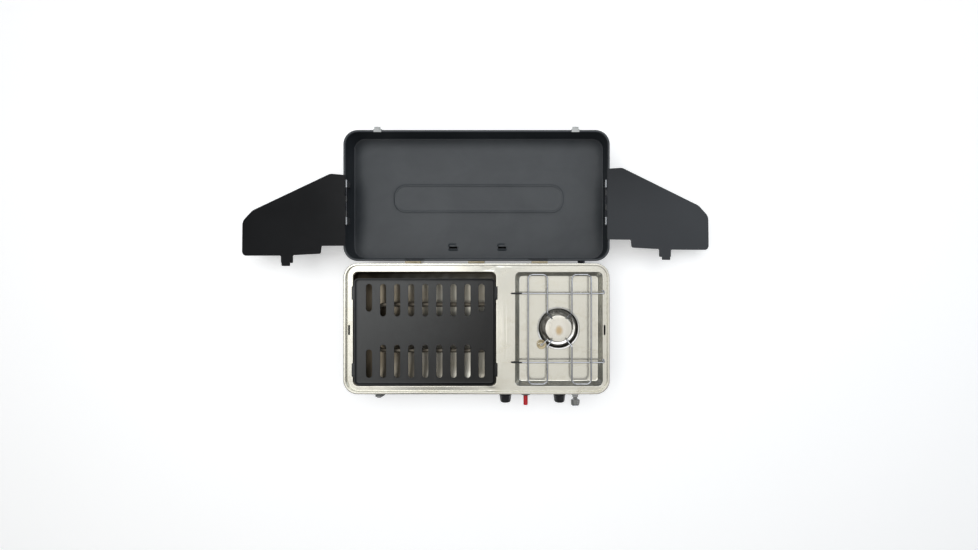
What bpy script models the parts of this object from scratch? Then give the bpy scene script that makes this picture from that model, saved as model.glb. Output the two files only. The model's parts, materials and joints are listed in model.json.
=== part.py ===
"""Folding two-in-one camp grill: a flat steel case with a griddle, one round
gas burner and two wind panels hinged to the lid. It is held at rest with the
lid laid open. Metres, +Z up. The origin is the centre of the case's underside,
+X runs along the case and the lid opens towards +Y."""

import math

import bmesh
import bpy
from mathutils import Matrix, Vector

MM = 0.001
GAP = 0.3 * MM
SHEET = 1.0 * MM

# Case
CASE_WIDTH = 610 * MM
CASE_DEPTH = 300 * MM
CASE_CORNER = 33 * MM
BASE_HEIGHT = 84 * MM
LID_DEPTH = 45 * MM
RIM_WIDTH = 5.5 * MM
RIM_DROP = 4.0 * MM
DECK_RECESS = 6 * MM
FLOOR_FILLET = 8 * MM
RIM_ROUND = 1.2 * MM
LID_FILLET = 9 * MM
PANEL_INSET = 55 * MM  # the panel stamped down in the middle of the underside
PANEL_DROP = 1 * MM
PANEL_CORNER = 14 * MM
FOOT_RADIUS = 10 * MM
FOOT_TAPER = 1.5 * MM
FOOT_HEIGHT = 8 * MM
FOOT_INSET = 38 * MM

# Main hinge
HINGE_SPACE = 5 * MM
CLOSED_GAP = 6 * MM
HINGE_PITCH = 144 * MM
HINGE_WIDTH = 36.6 * MM
HINGE_MIDDLE = 12 * MM
KNUCKLE_RADIUS = 2.2 * MM
HINGE_PIN_RADIUS = 1.0 * MM
PIN_CLEARANCE = 0.25 * MM
LEAF_THICKNESS = 1.2 * MM
LEAF_LENGTH = 22 * MM

# Wind panels
WING_AXIS_INSET = 11 * MM
WING_AXIS_RISE = 6 * MM
WING_REACH = 269 * MM
WING_FAR_EDGE = 202 * MM
WING_NEAR_EDGE = 16 * MM
WING_NOTCH_EDGE = 37 * MM
WING_NOTCH_LENGTH = 62 * MM
TAB_START = 134.8 * MM
TAB_END = 166 * MM
TAB_EDGE = -2.2 * MM
NUB_CENTRE = 153.3 * MM
NUB_WIDTH = 22 * MM
NUB_EDGE = -9.2 * MM
NUB_RELIEF = 44 * MM
WING_ROOT = 3.4 * MM
WING_EYE_RADIUS = 2.9 * MM
WING_EYE_LENGTH = 14 * MM
WING_EYES = (102.5 * MM, 135.5 * MM)
WING_PIN_RADIUS = 1.5 * MM
SLEEVE_RADIUS = 2.5 * MM
SLEEVE_LENGTH = 17 * MM
SLEEVES = (93.5 * MM, 177.5 * MM)
SLEEVE_STRIP = 1.2 * MM
SLEEVE_PAD = 12 * MM
LEFT_DROOP = 8.0
RIGHT_DROOP = 12.0
RIGHT_LIFT = 14.3 * MM

# Rests for the folded panels, raised from the lid's floor
REST_SPANS = ((-75 * MM, -48 * MM), (43 * MM, 69 * MM))
REST_DEPTH_FROM_MIDDLE = 127 * MM
REST_LENGTH = 21 * MM
REST_HEIGHT = 7.3 * MM
REST_SHEET = 1.2 * MM

# Deck
GRIDDLE_OPENING = (-285 * MM, 44 * MM, -132.7 * MM, 129.7 * MM)
WELL_OPENING = (88.9 * MM, 289.5 * MM, -132.7 * MM, 128.9 * MM)
OPENING_CORNER = 11 * MM
WELL_DEPTH = 12 * MM
WELL_SLOPE = 8 * MM
WELL_EDGE = 1.5 * MM
SLOT_LENGTH = 23.5 * MM
SLOT_WIDTH = 4.2 * MM

# Griddle
GRIDDLE_LEFT_GAP = 3.5 * MM
GRIDDLE_RIGHT_GAP = 2.2 * MM
GRIDDLE_FRONT_GAP = 2.3 * MM
GRIDDLE_BACK_GAP = 14.9 * MM
GRIDDLE_THICKNESS = 2 * MM
GRIDDLE_SINK = 6 * MM
GRIDDLE_LIP = 3 * MM
GRIDDLE_FILLET = 4 * MM
GRIDDLE_EAR = 6 * MM
EAR_LENGTH = 31 * MM
EAR_THICKNESS = 1.5 * MM
EAR_PLACES = (-95.5 * MM, 81.3 * MM)
SLOT_COLUMNS = 9
COLUMN_PITCH = 32.56 * MM
COLUMN_WIDTH = 13.7 * MM
SLOT_ROWS = ((-115.5 * MM, -39 * MM), (26.8 * MM, 102 * MM))
END_SHORTER = 11 * MM

# Firebox under the griddle: (drop below its flange, distance in from the opening)
FIREBOX_FLANGE = 4 * MM
FIREBOX_SHEET = 0.8 * MM
FIREBOX_WALL = 17 * MM
FIREBOX_CURVE = ((24 * MM, 5 * MM), (31 * MM, 18 * MM), (35 * MM, 42 * MM))
TUBE_BURNER_Z = 58 * MM
TUBE_BURNER_FEED_Y = 52 * MM
TUBE_BURNER_RETURN_Y = -56 * MM
TUBE_BURNER_TURN = 25 * MM

# Burner and grate
BURNER = Vector((189 * MM, -2 * MM, 0))
BURNER_HOLE = 47 * MM
BOWL_RIM = 50 * MM
BOWL_FLOOR = 20 * MM
BOWL_DEPTH = 20 * MM
BOWL_SHEET = 0.8 * MM
HEAD_RADIUS = 28.5 * MM
HEAD_RISE = 2.5 * MM
HEAD_SIDE = 9 * MM
CAP_RADIUS = 31.3 * MM
CAP_HEIGHT = 3.6 * MM
STEM_RADIUS = 12 * MM
STEM_BELOW = 6 * MM
ELECTRODE_OFFSET = Vector((-39.5 * MM, -37.4 * MM, 0))
CERAMIC_RADIUS = 3 * MM
BRACKET_RADIUS = 11 * MM
BRACKET_THICKNESS = 1.6 * MM
CERAMIC_ABOVE = 5.5 * MM
CERAMIC_BELOW = 6 * MM
SPARK_GAP = 3 * MM
TIP_RADIUS = 0.9 * MM
LEAD_RADIUS = 1.3 * MM
WIRE_RADIUS = 2 * MM
GRATE_CENTRE = 190 * MM
LOOP_OUTER = 72 * MM
LOOP_INNER = 28 * MM
LOOP_FRONT = -126 * MM
LOOP_BACK = 124 * MM
BAR_FRONT = -78 * MM
BAR_BACK = 80.3 * MM
BAR_LEFT = 78 * MM
BAR_RIGHT = 294.5 * MM
LOOP_TIP = 17 * MM
LOOP_TIP_REACH = 25 * MM
LOOP_BEND_REACH = 38 * MM
LOOP_TIP_DROP = 7 * MM
LOOP_CORNER = 11 * MM

# Controls
CONTROL_DROP = 30 * MM
KNOB_PLACES = (("left", 65 * MM), ("right", 192.6 * MM))
KNOB_RADIUS = 14.7 * MM
KNOB_END_RADIUS = 12.2 * MM
KNOB_LENGTH = 18 * MM
KNOB_STANDOFF = 8.5 * MM
KNOB_BORE_DEPTH = 8 * MM
VALVE_STEM_RADIUS = 3 * MM
STEM_HOLE_CLEARANCE = 1.2 * MM
STEM_INSIDE = 16 * MM
VALVE_WIDTH = 18 * MM
VALVE_LENGTH = 34 * MM
VALVE_SETBACK = 3 * MM
IGNITER_X = 112.6 * MM
IGNITER_RADIUS = 9 * MM
IGNITER_LENGTH = 46 * MM
IGNITER_PROUD = 2 * MM
IGNITER_END = 7 * MM
BEZEL_RADIUS = 12.8 * MM
BEZEL_DEPTH = 11 * MM
BUTTON_RADIUS = 5.35 * MM
BUTTON_REACH = 35 * MM
BUTTON_CLEARANCE = 0.3 * MM
BUTTON_INSIDE = 12 * MM

# Gas line
PIPE_RADIUS = 5 * MM
TUBE_RADIUS = 4 * MM
MANIFOLD_RADIUS = 6 * MM
MANIFOLD_END_X = 270 * MM
SUPPLY_X = 284 * MM
INLET_X = 250 * MM
INLET_Z = 22 * MM
INLET_RADIUS = 6 * MM
INLET_NUT_RADIUS = 9 * MM
INLET_INSIDE = 12 * MM
INLET_OUTSIDE = 14 * MM

# Latches
LATCH_PITCH = 226 * MM
LATCH_AXIS_DROP = 5 * MM
LATCH_STANDOFF = 5.5 * MM
LATCH_WIDTH = 21 * MM
LATCH_LEVER = 22 * MM
LATCH_BARREL = 2.2 * MM
LATCH_PIN = 1.0 * MM
BAIL_PLACE = 5 * MM
BAIL_TUBE = 1.9 * MM
BAIL_WIRE = 0.9 * MM
BAIL_LENGTH = 15.5 * MM
BAIL_HALF_WIDTH = 6 * MM
LATCH_PLATE = 18 * MM
EAR_FACES = (5.2 * MM, 6.4 * MM)
BARREL_HALF = 4.8 * MM
KEEPER_WIDTH = 18 * MM
KEEPER_DEPTH = 20 * MM
KEEPER_SHEET = 1.2 * MM
KEEPER_HOOK = 6 * MM
RIGHT_LEVER_OUT = 90.0

# Places that follow from the sizes above
HALF_WIDTH = CASE_WIDTH / 2
HALF_DEPTH = CASE_DEPTH / 2
DECK_TOP = BASE_HEIGHT - DECK_RECESS
WALL_TOP = BASE_HEIGHT - RIM_DROP
HINGE_Y = HALF_DEPTH + HINGE_SPACE / 2
HINGE_Z = BASE_HEIGHT + CLOSED_GAP / 2
LID_Y = 2 * HINGE_Y
LID_FLOOR = BASE_HEIGHT - LID_DEPTH
WING_X = HALF_WIDTH - WING_AXIS_INSET
WING_Z = BASE_HEIGHT + WING_AXIS_RISE
CONTROL_Z = BASE_HEIGHT - CONTROL_DROP
WELL_FLOOR = DECK_TOP - WELL_DEPTH
FRONT = -HALF_DEPTH
LATCH_Z = BASE_HEIGHT - LATCH_AXIS_DROP
PAST = 5 * MM  # how far a cutter runs past the sheet it cuts


def clear_scene():
    for obj in list(bpy.data.objects):
        bpy.data.objects.remove(obj, do_unlink=True)


def new_collection(name):
    collection = bpy.data.collections.new(name)
    bpy.context.scene.collection.children.link(collection)
    return collection


def finish(name, colour, roughness, metallic):
    """A plain Principled material."""
    material = bpy.data.materials.new(name)
    material.use_nodes = True
    shader = material.node_tree.nodes["Principled BSDF"]
    shader.inputs["Base Color"].default_value = (*colour, 1)
    shader.inputs["Roughness"].default_value = roughness
    shader.inputs["Metallic"].default_value = metallic
    return material


clear_scene()
PARTS = new_collection("folding_camp_grill")
CUTTERS = new_collection("cutters")
CUTTERS.hide_render = True

STAINLESS = finish("stainless", (0.62, 0.60, 0.55), 0.28, 1.0)
POWDER_BLACK = finish("powder_black", (0.012, 0.013, 0.015), 0.55, 0.0)
SLATE_PAINT = finish("slate_paint", (0.075, 0.085, 0.095), 0.5, 0.0)
GRIDDLE_COAT = finish("griddle_coat", (0.05, 0.05, 0.052), 0.38, 0.0)
CHROME = finish("chrome", (0.75, 0.75, 0.76), 0.08, 1.0)
ZINC_YELLOW = finish("zinc_yellow", (0.55, 0.43, 0.22), 0.35, 1.0)
CAP_STEEL = finish("cap_steel", (0.66, 0.64, 0.58), 0.32, 1.0)
ALUMINIUM = finish("aluminium", (0.7, 0.7, 0.71), 0.4, 1.0)
BRASS = finish("brass", (0.72, 0.52, 0.22), 0.3, 1.0)
CERAMIC = finish("ceramic", (0.88, 0.87, 0.84), 0.3, 0.0)
BLACK_PLASTIC = finish("black_plastic", (0.015, 0.015, 0.016), 0.4, 0.0)
RED_PLASTIC = finish("red_plastic", (0.6, 0.01, 0.015), 0.3, 0.0)
RUBBER = finish("rubber", (0.02, 0.02, 0.02), 0.8, 0.0)


def add_mesh(name, mesh, collection=PARTS):
    obj = bpy.data.objects.new(name, mesh)
    collection.objects.link(obj)
    return obj


def from_bmesh(name, shape):
    mesh = bpy.data.meshes.new(name)
    shape.to_mesh(mesh)
    shape.free()
    return add_mesh(name, mesh)


def box(name, low, high):
    low, high = Vector(low), Vector(high)
    shape = bmesh.new()
    place = Matrix.Translation((low + high) / 2) @ Matrix.Diagonal((high - low)).to_4x4()
    bmesh.ops.create_cube(shape, size=1, matrix=place)
    return from_bmesh(name, shape)


def rod(name, start, end, radius, end_radius=None, segments=16):
    """A cylinder, or a cone where the end radius differs."""
    start, end = Vector(start), Vector(end)
    along = end - start
    turn = Vector((0, 0, 1)).rotation_difference(along).to_matrix().to_4x4()
    shape = bmesh.new()
    bmesh.ops.create_cone(
        shape,
        cap_ends=True,
        segments=segments,
        radius1=radius,
        radius2=radius if end_radius is None else end_radius,
        depth=along.length,
        matrix=Matrix.Translation((start + end) / 2) @ turn,
    )
    return from_bmesh(name, shape)


def turned(name, profile, steps=32):
    """A profile of (radius, height) points, outer side from top to bottom, turned round Z."""
    mesh = bpy.data.meshes.new(name)
    points = [(radius, 0, height) for radius, height in profile]
    mesh.from_pydata(points, [(i, i + 1) for i in range(len(points) - 1)], [])
    obj = add_mesh(name, mesh)
    screw = obj.modifiers.new("Screw", "SCREW")
    screw.steps = steps
    screw.render_steps = steps
    screw.use_merge_vertices = True
    screw.merge_threshold = 0.00005
    return obj


def ring_profile(profile):
    """A turned profile closed on itself, for a piece with a hole through it."""
    return [*profile, profile[0]]


def round_corners(points, radii, steps=4, closed=True):
    """The points with each corner replaced by an arc of its own radius."""
    points = [Vector(point) for point in points]
    if not isinstance(radii, (list, tuple)):
        radii = [radii] * len(points)
    rounded = []
    for i, (corner, radius) in enumerate(zip(points, radii)):
        ends = not closed and i in (0, len(points) - 1)
        if ends or radius == 0:
            rounded.append(corner)
            continue
        back = (points[i - 1] - corner).normalized()
        onward = (points[(i + 1) % len(points)] - corner).normalized()
        half = back.angle(onward) / 2
        centre = corner + (back + onward).normalized() * radius / math.sin(half)
        first = (corner + back * radius / math.tan(half) - centre).normalized()
        last = (corner + onward * radius / math.tan(half) - centre).normalized()
        turns = [first.slerp(last, k / steps) for k in range(steps + 1)]
        rounded += [centre + turn * radius for turn in turns]
    return rounded


def rectangle(left, right, front, back, radius, steps=5):
    """An anticlockwise rounded rectangle."""
    corners = [(left, front, 0), (right, front, 0), (right, back, 0), (left, back, 0)]
    return round_corners(corners, radius, steps)


def curve(name, points, closed):
    data = bpy.data.curves.new(name, "CURVE")
    spline = data.splines.new("POLY")
    spline.points.add(len(points) - 1)
    for place, point in zip(spline.points, points):
        place.co = (*Vector(point).to_3d(), 1)
    spline.use_cyclic_u = closed
    obj = bpy.data.objects.new(name, data)
    PARTS.objects.link(obj)
    return obj


def wire(name, points, radius, closed=False):
    """A round wire or tube along the points."""
    obj = curve(name, points, closed)
    obj.data.dimensions = "3D"
    obj.data.bevel_depth = radius
    obj.data.bevel_resolution = 2
    obj.data.use_fill_caps = True
    return obj


def as_mesh(obj):
    """The curve's evaluated shape as a welded mesh object."""
    bpy.context.view_layer.update()
    graph = bpy.context.evaluated_depsgraph_get()
    mesh = bpy.data.meshes.new_from_object(obj.evaluated_get(graph))
    shape = bmesh.new()
    shape.from_mesh(mesh)
    bmesh.ops.remove_doubles(shape, verts=shape.verts, dist=0.00001)
    shape.to_mesh(mesh)
    shape.free()
    name = obj.name
    place = obj.matrix_world.copy()
    bpy.data.objects.remove(obj)
    solid = add_mesh(name, mesh)
    solid.matrix_world = place
    return solid


def bake(obj, matrix):
    """Turns the mesh itself, and leaves its object at the origin."""
    bpy.context.view_layer.update()
    obj.data.transform(matrix @ obj.matrix_world)
    obj.matrix_world = Matrix.Identity(4)


def plate(name, outline, low, high):
    """A flat outline extruded from one height to another."""
    obj = curve(name, outline, True)
    obj.data.dimensions = "2D"
    obj.data.fill_mode = "BOTH"
    obj.data.extrude = (high - low) / 2
    obj.location.z = (high + low) / 2
    return as_mesh(obj)


def pan(name, rings, thickness, face_up=False):
    """A sheet through rounded rectangles, closed by the last one. Its thickness is added
    inside the rings, or under them where it faces up."""
    shape = bmesh.new()
    loops = []
    for (left, right, front, back), radius, height in rings:
        outline = rectangle(left, right, front, back, radius)
        loops.append([shape.verts.new((point.x, point.y, height)) for point in outline])
    for upper, lower in zip(loops, loops[1:]):
        for k in range(len(upper)):
            after = (k + 1) % len(upper)
            corners = [lower[k], lower[after], upper[after], upper[k]]
            shape.faces.new(corners[::-1] if face_up else corners)
    shape.faces.new(loops[-1] if face_up else loops[-1][::-1])
    obj = from_bmesh(name, shape)
    solidify = obj.modifiers.new("Solidify", "SOLIDIFY")
    solidify.thickness = thickness
    solidify.offset = -1
    solidify.use_even_offset = True
    return obj


def inset(outline, distance):
    left, right, front, back = outline
    return (left + distance, right - distance, front + distance, back - distance)


def use(obj, tool, operation):
    boolean = obj.modifiers.new(operation.title(), "BOOLEAN")
    boolean.operation = operation
    boolean.solver = "EXACT"
    boolean.object = tool
    for collection in list(tool.users_collection):
        collection.objects.unlink(tool)
    CUTTERS.objects.link(tool)
    tool.hide_render = True
    tool.display_type = "WIRE"
    return obj


def cut(obj, *tools):
    for tool in tools:
        use(obj, tool, "DIFFERENCE")
    return obj


def join(obj, *tools):
    for tool in tools:
        use(obj, tool, "UNION")
    return obj


def dress(obj, material, smooth=True):
    obj.data.materials.clear()
    obj.data.materials.append(material)
    if smooth and obj.type == "MESH":
        obj.data.shade_smooth()
        obj.data.set_sharp_from_angle(angle=math.radians(35))
    return obj


def axis_empty(name, place, turn=(0, 0, 0), parent=None):
    """An empty on a joint's axis, which the moving pieces hang on."""
    empty = bpy.data.objects.new(name, None)
    empty.empty_display_size = 0.02
    PARTS.objects.link(empty)
    empty.location = place
    empty.rotation_euler = turn
    hang(empty, parent)
    return empty


def hang(obj, parent):
    """Parents the object where it is."""
    if parent is None:
        return
    bpy.context.view_layer.update()
    obj.parent = parent
    obj.matrix_parent_inverse = parent.matrix_world.inverted()


CASE = (-HALF_WIDTH, HALF_WIDTH, -HALF_DEPTH, HALF_DEPTH)
LID = (-HALF_WIDTH, HALF_WIDTH, LID_Y - HALF_DEPTH, LID_Y + HALF_DEPTH)


def rounded_floor(outline, corner, radius, wall_end, floor, steps=3):
    """Rings from a wall's lower end round a fillet to the floor."""
    rings = [(outline, corner, wall_end)]
    for k in range(1, steps + 1):
        angle = math.radians(90) * k / steps
        step_in = radius * (1 - math.cos(angle))
        height = floor + radius * (1 - math.sin(angle))
        rings.append((inset(outline, step_in), corner - step_in, height))
    return rings


def make_base():
    corner = CASE_CORNER
    rings = [(CASE, corner, WALL_TOP - GAP)]
    rings += rounded_floor(CASE, corner, FLOOR_FILLET, PANEL_DROP + FLOOR_FILLET, PANEL_DROP)
    rings += [
        (inset(CASE, PANEL_INSET), PANEL_CORNER, PANEL_DROP),
        (inset(CASE, PANEL_INSET + PANEL_DROP), PANEL_CORNER - PANEL_DROP, 0),
    ]
    shell = pan("base_shell", rings, SHEET)
    for _, x in KNOB_PLACES:
        hole = rod(
            "stem_hole",
            (x, FRONT - PAST, CONTROL_Z),
            (x, FRONT + PAST, CONTROL_Z),
            VALVE_STEM_RADIUS + STEM_HOLE_CLEARANCE,
        )
        cut(shell, hole)
    hole = rod(
        "igniter_hole",
        (IGNITER_X, FRONT - PAST, CONTROL_Z),
        (IGNITER_X, FRONT + PAST, CONTROL_Z),
        IGNITER_RADIUS + GAP,
    )
    cut(shell, hole)
    inlet = rod(
        "inlet_hole",
        (INLET_X, HALF_DEPTH - PAST, INLET_Z),
        (INLET_X, HALF_DEPTH + PAST, INLET_Z),
        INLET_RADIUS + GAP,
    )
    cut(shell, inlet)
    dress(shell, POWDER_BLACK)

    for end, x in (("left", -1), ("right", 1)):
        for side, y in (("front", -1), ("back", 1)):
            foot_x = x * (HALF_WIDTH - FOOT_INSET)
            foot_y = y * (HALF_DEPTH - FOOT_INSET)
            foot = rod(
                f"foot_{side}_{end}",
                (foot_x, foot_y, PANEL_DROP - GAP),
                (foot_x, foot_y, -FOOT_HEIGHT),
                FOOT_RADIUS,
                FOOT_RADIUS - FOOT_TAPER,
            )
            dress(foot, RUBBER)


def make_deck():
    rim_in = RIM_WIDTH
    soft = RIM_ROUND
    rings = [
        (CASE, CASE_CORNER, WALL_TOP),
        (CASE, CASE_CORNER, BASE_HEIGHT - soft),
        (inset(CASE, soft), CASE_CORNER - soft, BASE_HEIGHT),
        (inset(CASE, rim_in - soft), CASE_CORNER - rim_in, BASE_HEIGHT),
        (inset(CASE, rim_in), CASE_CORNER - rim_in, BASE_HEIGHT - soft),
        (inset(CASE, rim_in), CASE_CORNER - rim_in, DECK_TOP + soft),
        (inset(CASE, rim_in + soft), CASE_CORNER - rim_in - soft, DECK_TOP),
    ]
    deck = pan("deck_plate", rings, SHEET, face_up=True)
    griddle_hole = plate(
        "griddle_opening",
        rectangle(*GRIDDLE_OPENING, OPENING_CORNER),
        DECK_TOP - PAST,
        DECK_TOP + PAST,
    )
    well_hole = plate(
        "well_opening",
        rectangle(*WELL_OPENING, OPENING_CORNER),
        DECK_TOP - PAST,
        DECK_TOP + PAST,
    )
    cut(deck, griddle_hole, well_hole)
    overlap = 0.4 * MM
    edge = inset(WELL_OPENING, -overlap)
    floor = inset(WELL_OPENING, WELL_SLOPE)
    floor_corner = OPENING_CORNER - WELL_SLOPE / 2
    rings = [
        (edge, OPENING_CORNER + overlap, DECK_TOP - overlap),
        (inset(WELL_OPENING, SHEET), OPENING_CORNER, DECK_TOP - 2 * SHEET),
        (inset(floor, -WELL_EDGE), floor_corner + SHEET, WELL_FLOOR + SHEET),
        (floor, floor_corner, WELL_FLOOR),
    ]
    well = pan("well", rings, SHEET, face_up=True)
    join(deck, well)
    low, high = WELL_FLOOR - PAST, WELL_FLOOR + PAST
    cut(
        deck,
        rod("burner_hole", at_burner(0, low), at_burner(0, high), BURNER_HOLE, segments=40),
        rod(
            "electrode_hole",
            at_electrode(low),
            at_electrode(high),
            CERAMIC_RADIUS + 2 * GAP,
        ),
    )
    slot_y = wing_slot_y()
    for side in (-1, 1):
        slot = box(
            "wing_slot",
            (side * WING_X - SLOT_WIDTH / 2, slot_y - SLOT_LENGTH / 2, DECK_TOP - PAST),
            (side * WING_X + SLOT_WIDTH / 2, slot_y + SLOT_LENGTH / 2, DECK_TOP + PAST),
        )
        cut(deck, slot)
    dress(deck, STAINLESS)


def wing_slot_y():
    """Where a panel's nub comes down when the lid is upright and the panel swung forward."""
    axis_y = HINGE_Y - (WING_Z - HINGE_Z)
    return axis_y - NUB_CENTRE


def at_burner(reach, height):
    return BURNER + Vector((reach, 0, height))


def at_electrode(height):
    return BURNER + ELECTRODE_OFFSET + Vector((0, 0, height))


def make_firebox():
    """The bright pan under the griddle, and the looped burner in it."""
    top = DECK_TOP - SHEET - GAP
    outline = GRIDDLE_OPENING
    corner = OPENING_CORNER
    rings = [
        (inset(outline, -FIREBOX_FLANGE), corner + FIREBOX_FLANGE, top),
        (outline, corner, top),
        (outline, corner, top - FIREBOX_WALL),
    ]
    for drop, distance in FIREBOX_CURVE:
        rings.append((inset(outline, distance), corner + min(distance, corner) / 2, top - drop))
    tray = pan("firebox_tray", rings, FIREBOX_SHEET, face_up=True)
    left, right, _, _ = outline
    outside = 8 * MM
    feed_hole = rod(
        "feed_hole",
        (right - outside, TUBE_BURNER_FEED_Y, TUBE_BURNER_Z),
        (right + outside, TUBE_BURNER_FEED_Y, TUBE_BURNER_Z),
        PIPE_RADIUS + 5 * GAP,
    )
    cut(tray, feed_hole)
    dress(tray, STAINLESS)

    far = left + 42 * MM
    near_end = right - 30 * MM
    points = [
        (right + outside, TUBE_BURNER_FEED_Y, TUBE_BURNER_Z),
        (far, TUBE_BURNER_FEED_Y, TUBE_BURNER_Z),
        (far, TUBE_BURNER_RETURN_Y, TUBE_BURNER_Z),
        (near_end, TUBE_BURNER_RETURN_Y, TUBE_BURNER_Z),
    ]
    route = round_corners(points, TUBE_BURNER_TURN, 6, closed=False)
    burner = wire("griddle_burner", route, PIPE_RADIUS)
    dress(burner, CAP_STEEL)


def make_griddle():
    left, right, front, back = GRIDDLE_OPENING
    outline = (
        left + GRIDDLE_LEFT_GAP,
        right - GRIDDLE_RIGHT_GAP,
        front + GRIDDLE_FRONT_GAP,
        back - GRIDDLE_BACK_GAP,
    )
    bottom = DECK_TOP - GRIDDLE_SINK
    corner = OPENING_CORNER - 2 * MM
    rings = [(outline, corner, DECK_TOP + GRIDDLE_LIP)]
    fillet = GRIDDLE_FILLET
    rings += rounded_floor(outline, corner, fillet, bottom + fillet, bottom, steps=2)
    griddle = pan("griddle", rings, GRIDDLE_THICKNESS)
    ear_low = DECK_TOP + GAP
    ear_high = ear_low + EAR_THICKNESS
    bite = GRIDDLE_THICKNESS / 2
    for y in EAR_PLACES:
        front_y, back_y = y - EAR_LENGTH / 2, y + EAR_LENGTH / 2
        ears = (
            (outline[0] - GRIDDLE_EAR, outline[0] + bite),
            (outline[1] - bite, outline[1] + GRIDDLE_EAR),
        )
        for start, end in ears:
            join(griddle, box("ear", (start, front_y, ear_low), (end, back_y, ear_high)))
    middle = (outline[0] + outline[1]) / 2
    for column in range(SLOT_COLUMNS):
        x = middle + (column - (SLOT_COLUMNS - 1) / 2) * COLUMN_PITCH
        at_end = column in (0, SLOT_COLUMNS - 1)
        for row, (start, end) in enumerate(SLOT_ROWS):
            if at_end and row == 0:
                end -= END_SHORTER
            if at_end and row == 1:
                start += END_SHORTER
            shape = rectangle(
                x - COLUMN_WIDTH / 2,
                x + COLUMN_WIDTH / 2,
                start,
                end,
                COLUMN_WIDTH / 2 - 0.05 * MM,
                4,
            )
            slot = plate("griddle_slot", shape, bottom - PAST, bottom + PAST)
            cut(griddle, slot)
    dress(griddle, GRIDDLE_COAT)


def make_burner():
    sit = WELL_FLOOR + GAP
    sheet = BOWL_SHEET
    floor = sit - BOWL_DEPTH
    hole = STEM_RADIUS + GAP
    throat = BURNER_HOLE - 2 * GAP
    throat_end = sit - 2 * MM
    profile = ring_profile(
        [
            (BOWL_RIM, sit + sheet),
            (BOWL_RIM, sit),
            (throat, sit),
            (throat, throat_end),
            (BOWL_FLOOR + sheet, floor - sheet),
            (hole, floor - sheet),
            (hole, floor),
            (BOWL_FLOOR, floor),
            (throat - sheet, throat_end),
            (throat - sheet, sit + sheet),
        ]
    )
    bowl = turned("burner_bowl", profile, 32)
    bowl.location = BURNER
    dress(bowl, CHROME)

    head_top = sit + HEAD_RISE
    side_end = head_top - HEAD_SIDE
    profile = [
        (0, head_top),
        (HEAD_RADIUS, head_top),
        (HEAD_RADIUS, side_end),
        (HEAD_RADIUS - 3 * MM, side_end - 2 * MM),
        (STEM_RADIUS + 4 * MM, floor + 4 * MM),
        (STEM_RADIUS, floor + 3 * MM),
        (STEM_RADIUS, floor - STEM_BELOW),
        (0, floor - STEM_BELOW),
    ]
    head = turned("burner_head", profile, 28)
    head.location = BURNER
    dress(head, ALUMINIUM)

    cap_low = head_top + GAP
    profile = [
        (0, cap_low + CAP_HEIGHT),
        (CAP_RADIUS / 2, cap_low + 0.9 * CAP_HEIGHT),
        (CAP_RADIUS - 3 * MM, cap_low + 0.6 * CAP_HEIGHT),
        (CAP_RADIUS, cap_low + 0.2 * CAP_HEIGHT),
        (CAP_RADIUS, cap_low),
        (0, cap_low),
    ]
    cap = turned("burner_cap", profile, 32)
    cap.location = BURNER
    dress(cap, CAP_STEEL)


def make_electrode():
    """The ceramic on its bracket, its bent tip and the lead back to the igniter."""
    bracket_low = WELL_FLOOR + BOWL_SHEET + 2 * GAP
    bracket_top = bracket_low + BRACKET_THICKNESS
    bracket = rod(
        "electrode_bracket",
        at_electrode(bracket_low),
        at_electrode(bracket_top),
        BRACKET_RADIUS,
        segments=24,
    )
    through = rod(
        "ceramic_hole",
        at_electrode(bracket_low - PAST),
        at_electrode(bracket_top + PAST),
        CERAMIC_RADIUS + GAP,
    )
    cut(bracket, through)
    dress(bracket, ZINC_YELLOW)
    ceramic_top = WELL_FLOOR + CERAMIC_ABOVE
    ceramic_low = WELL_FLOOR - CERAMIC_BELOW
    ceramic = rod(
        "electrode_ceramic",
        at_electrode(ceramic_low),
        at_electrode(ceramic_top),
        CERAMIC_RADIUS,
    )
    dress(ceramic, CERAMIC)
    towards = -ELECTRODE_OFFSET.normalized()
    reach = ELECTRODE_OFFSET.length - CAP_RADIUS - SPARK_GAP
    tip_z = ceramic_top + CERAMIC_RADIUS
    points = [
        at_electrode(ceramic_top + GAP),
        at_electrode(tip_z),
        at_electrode(tip_z) + towards * reach,
    ]
    tip = wire("electrode_tip", round_corners(points, 2 * MM, 3, closed=False), TIP_RADIUS)
    dress(tip, CHROME)
    body_end = FRONT - IGNITER_PROUD + IGNITER_LENGTH + IGNITER_END / 2
    points = [
        (IGNITER_X, body_end + GAP, CONTROL_Z),
        (IGNITER_X, body_end + 15 * MM, CONTROL_Z),
        at_electrode(CONTROL_Z),
        at_electrode(ceramic_low - GAP),
    ]
    lead = wire("ignition_lead", round_corners(points, 5 * MM, 4, closed=False), LEAD_RADIUS)
    dress(lead, RUBBER)


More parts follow.
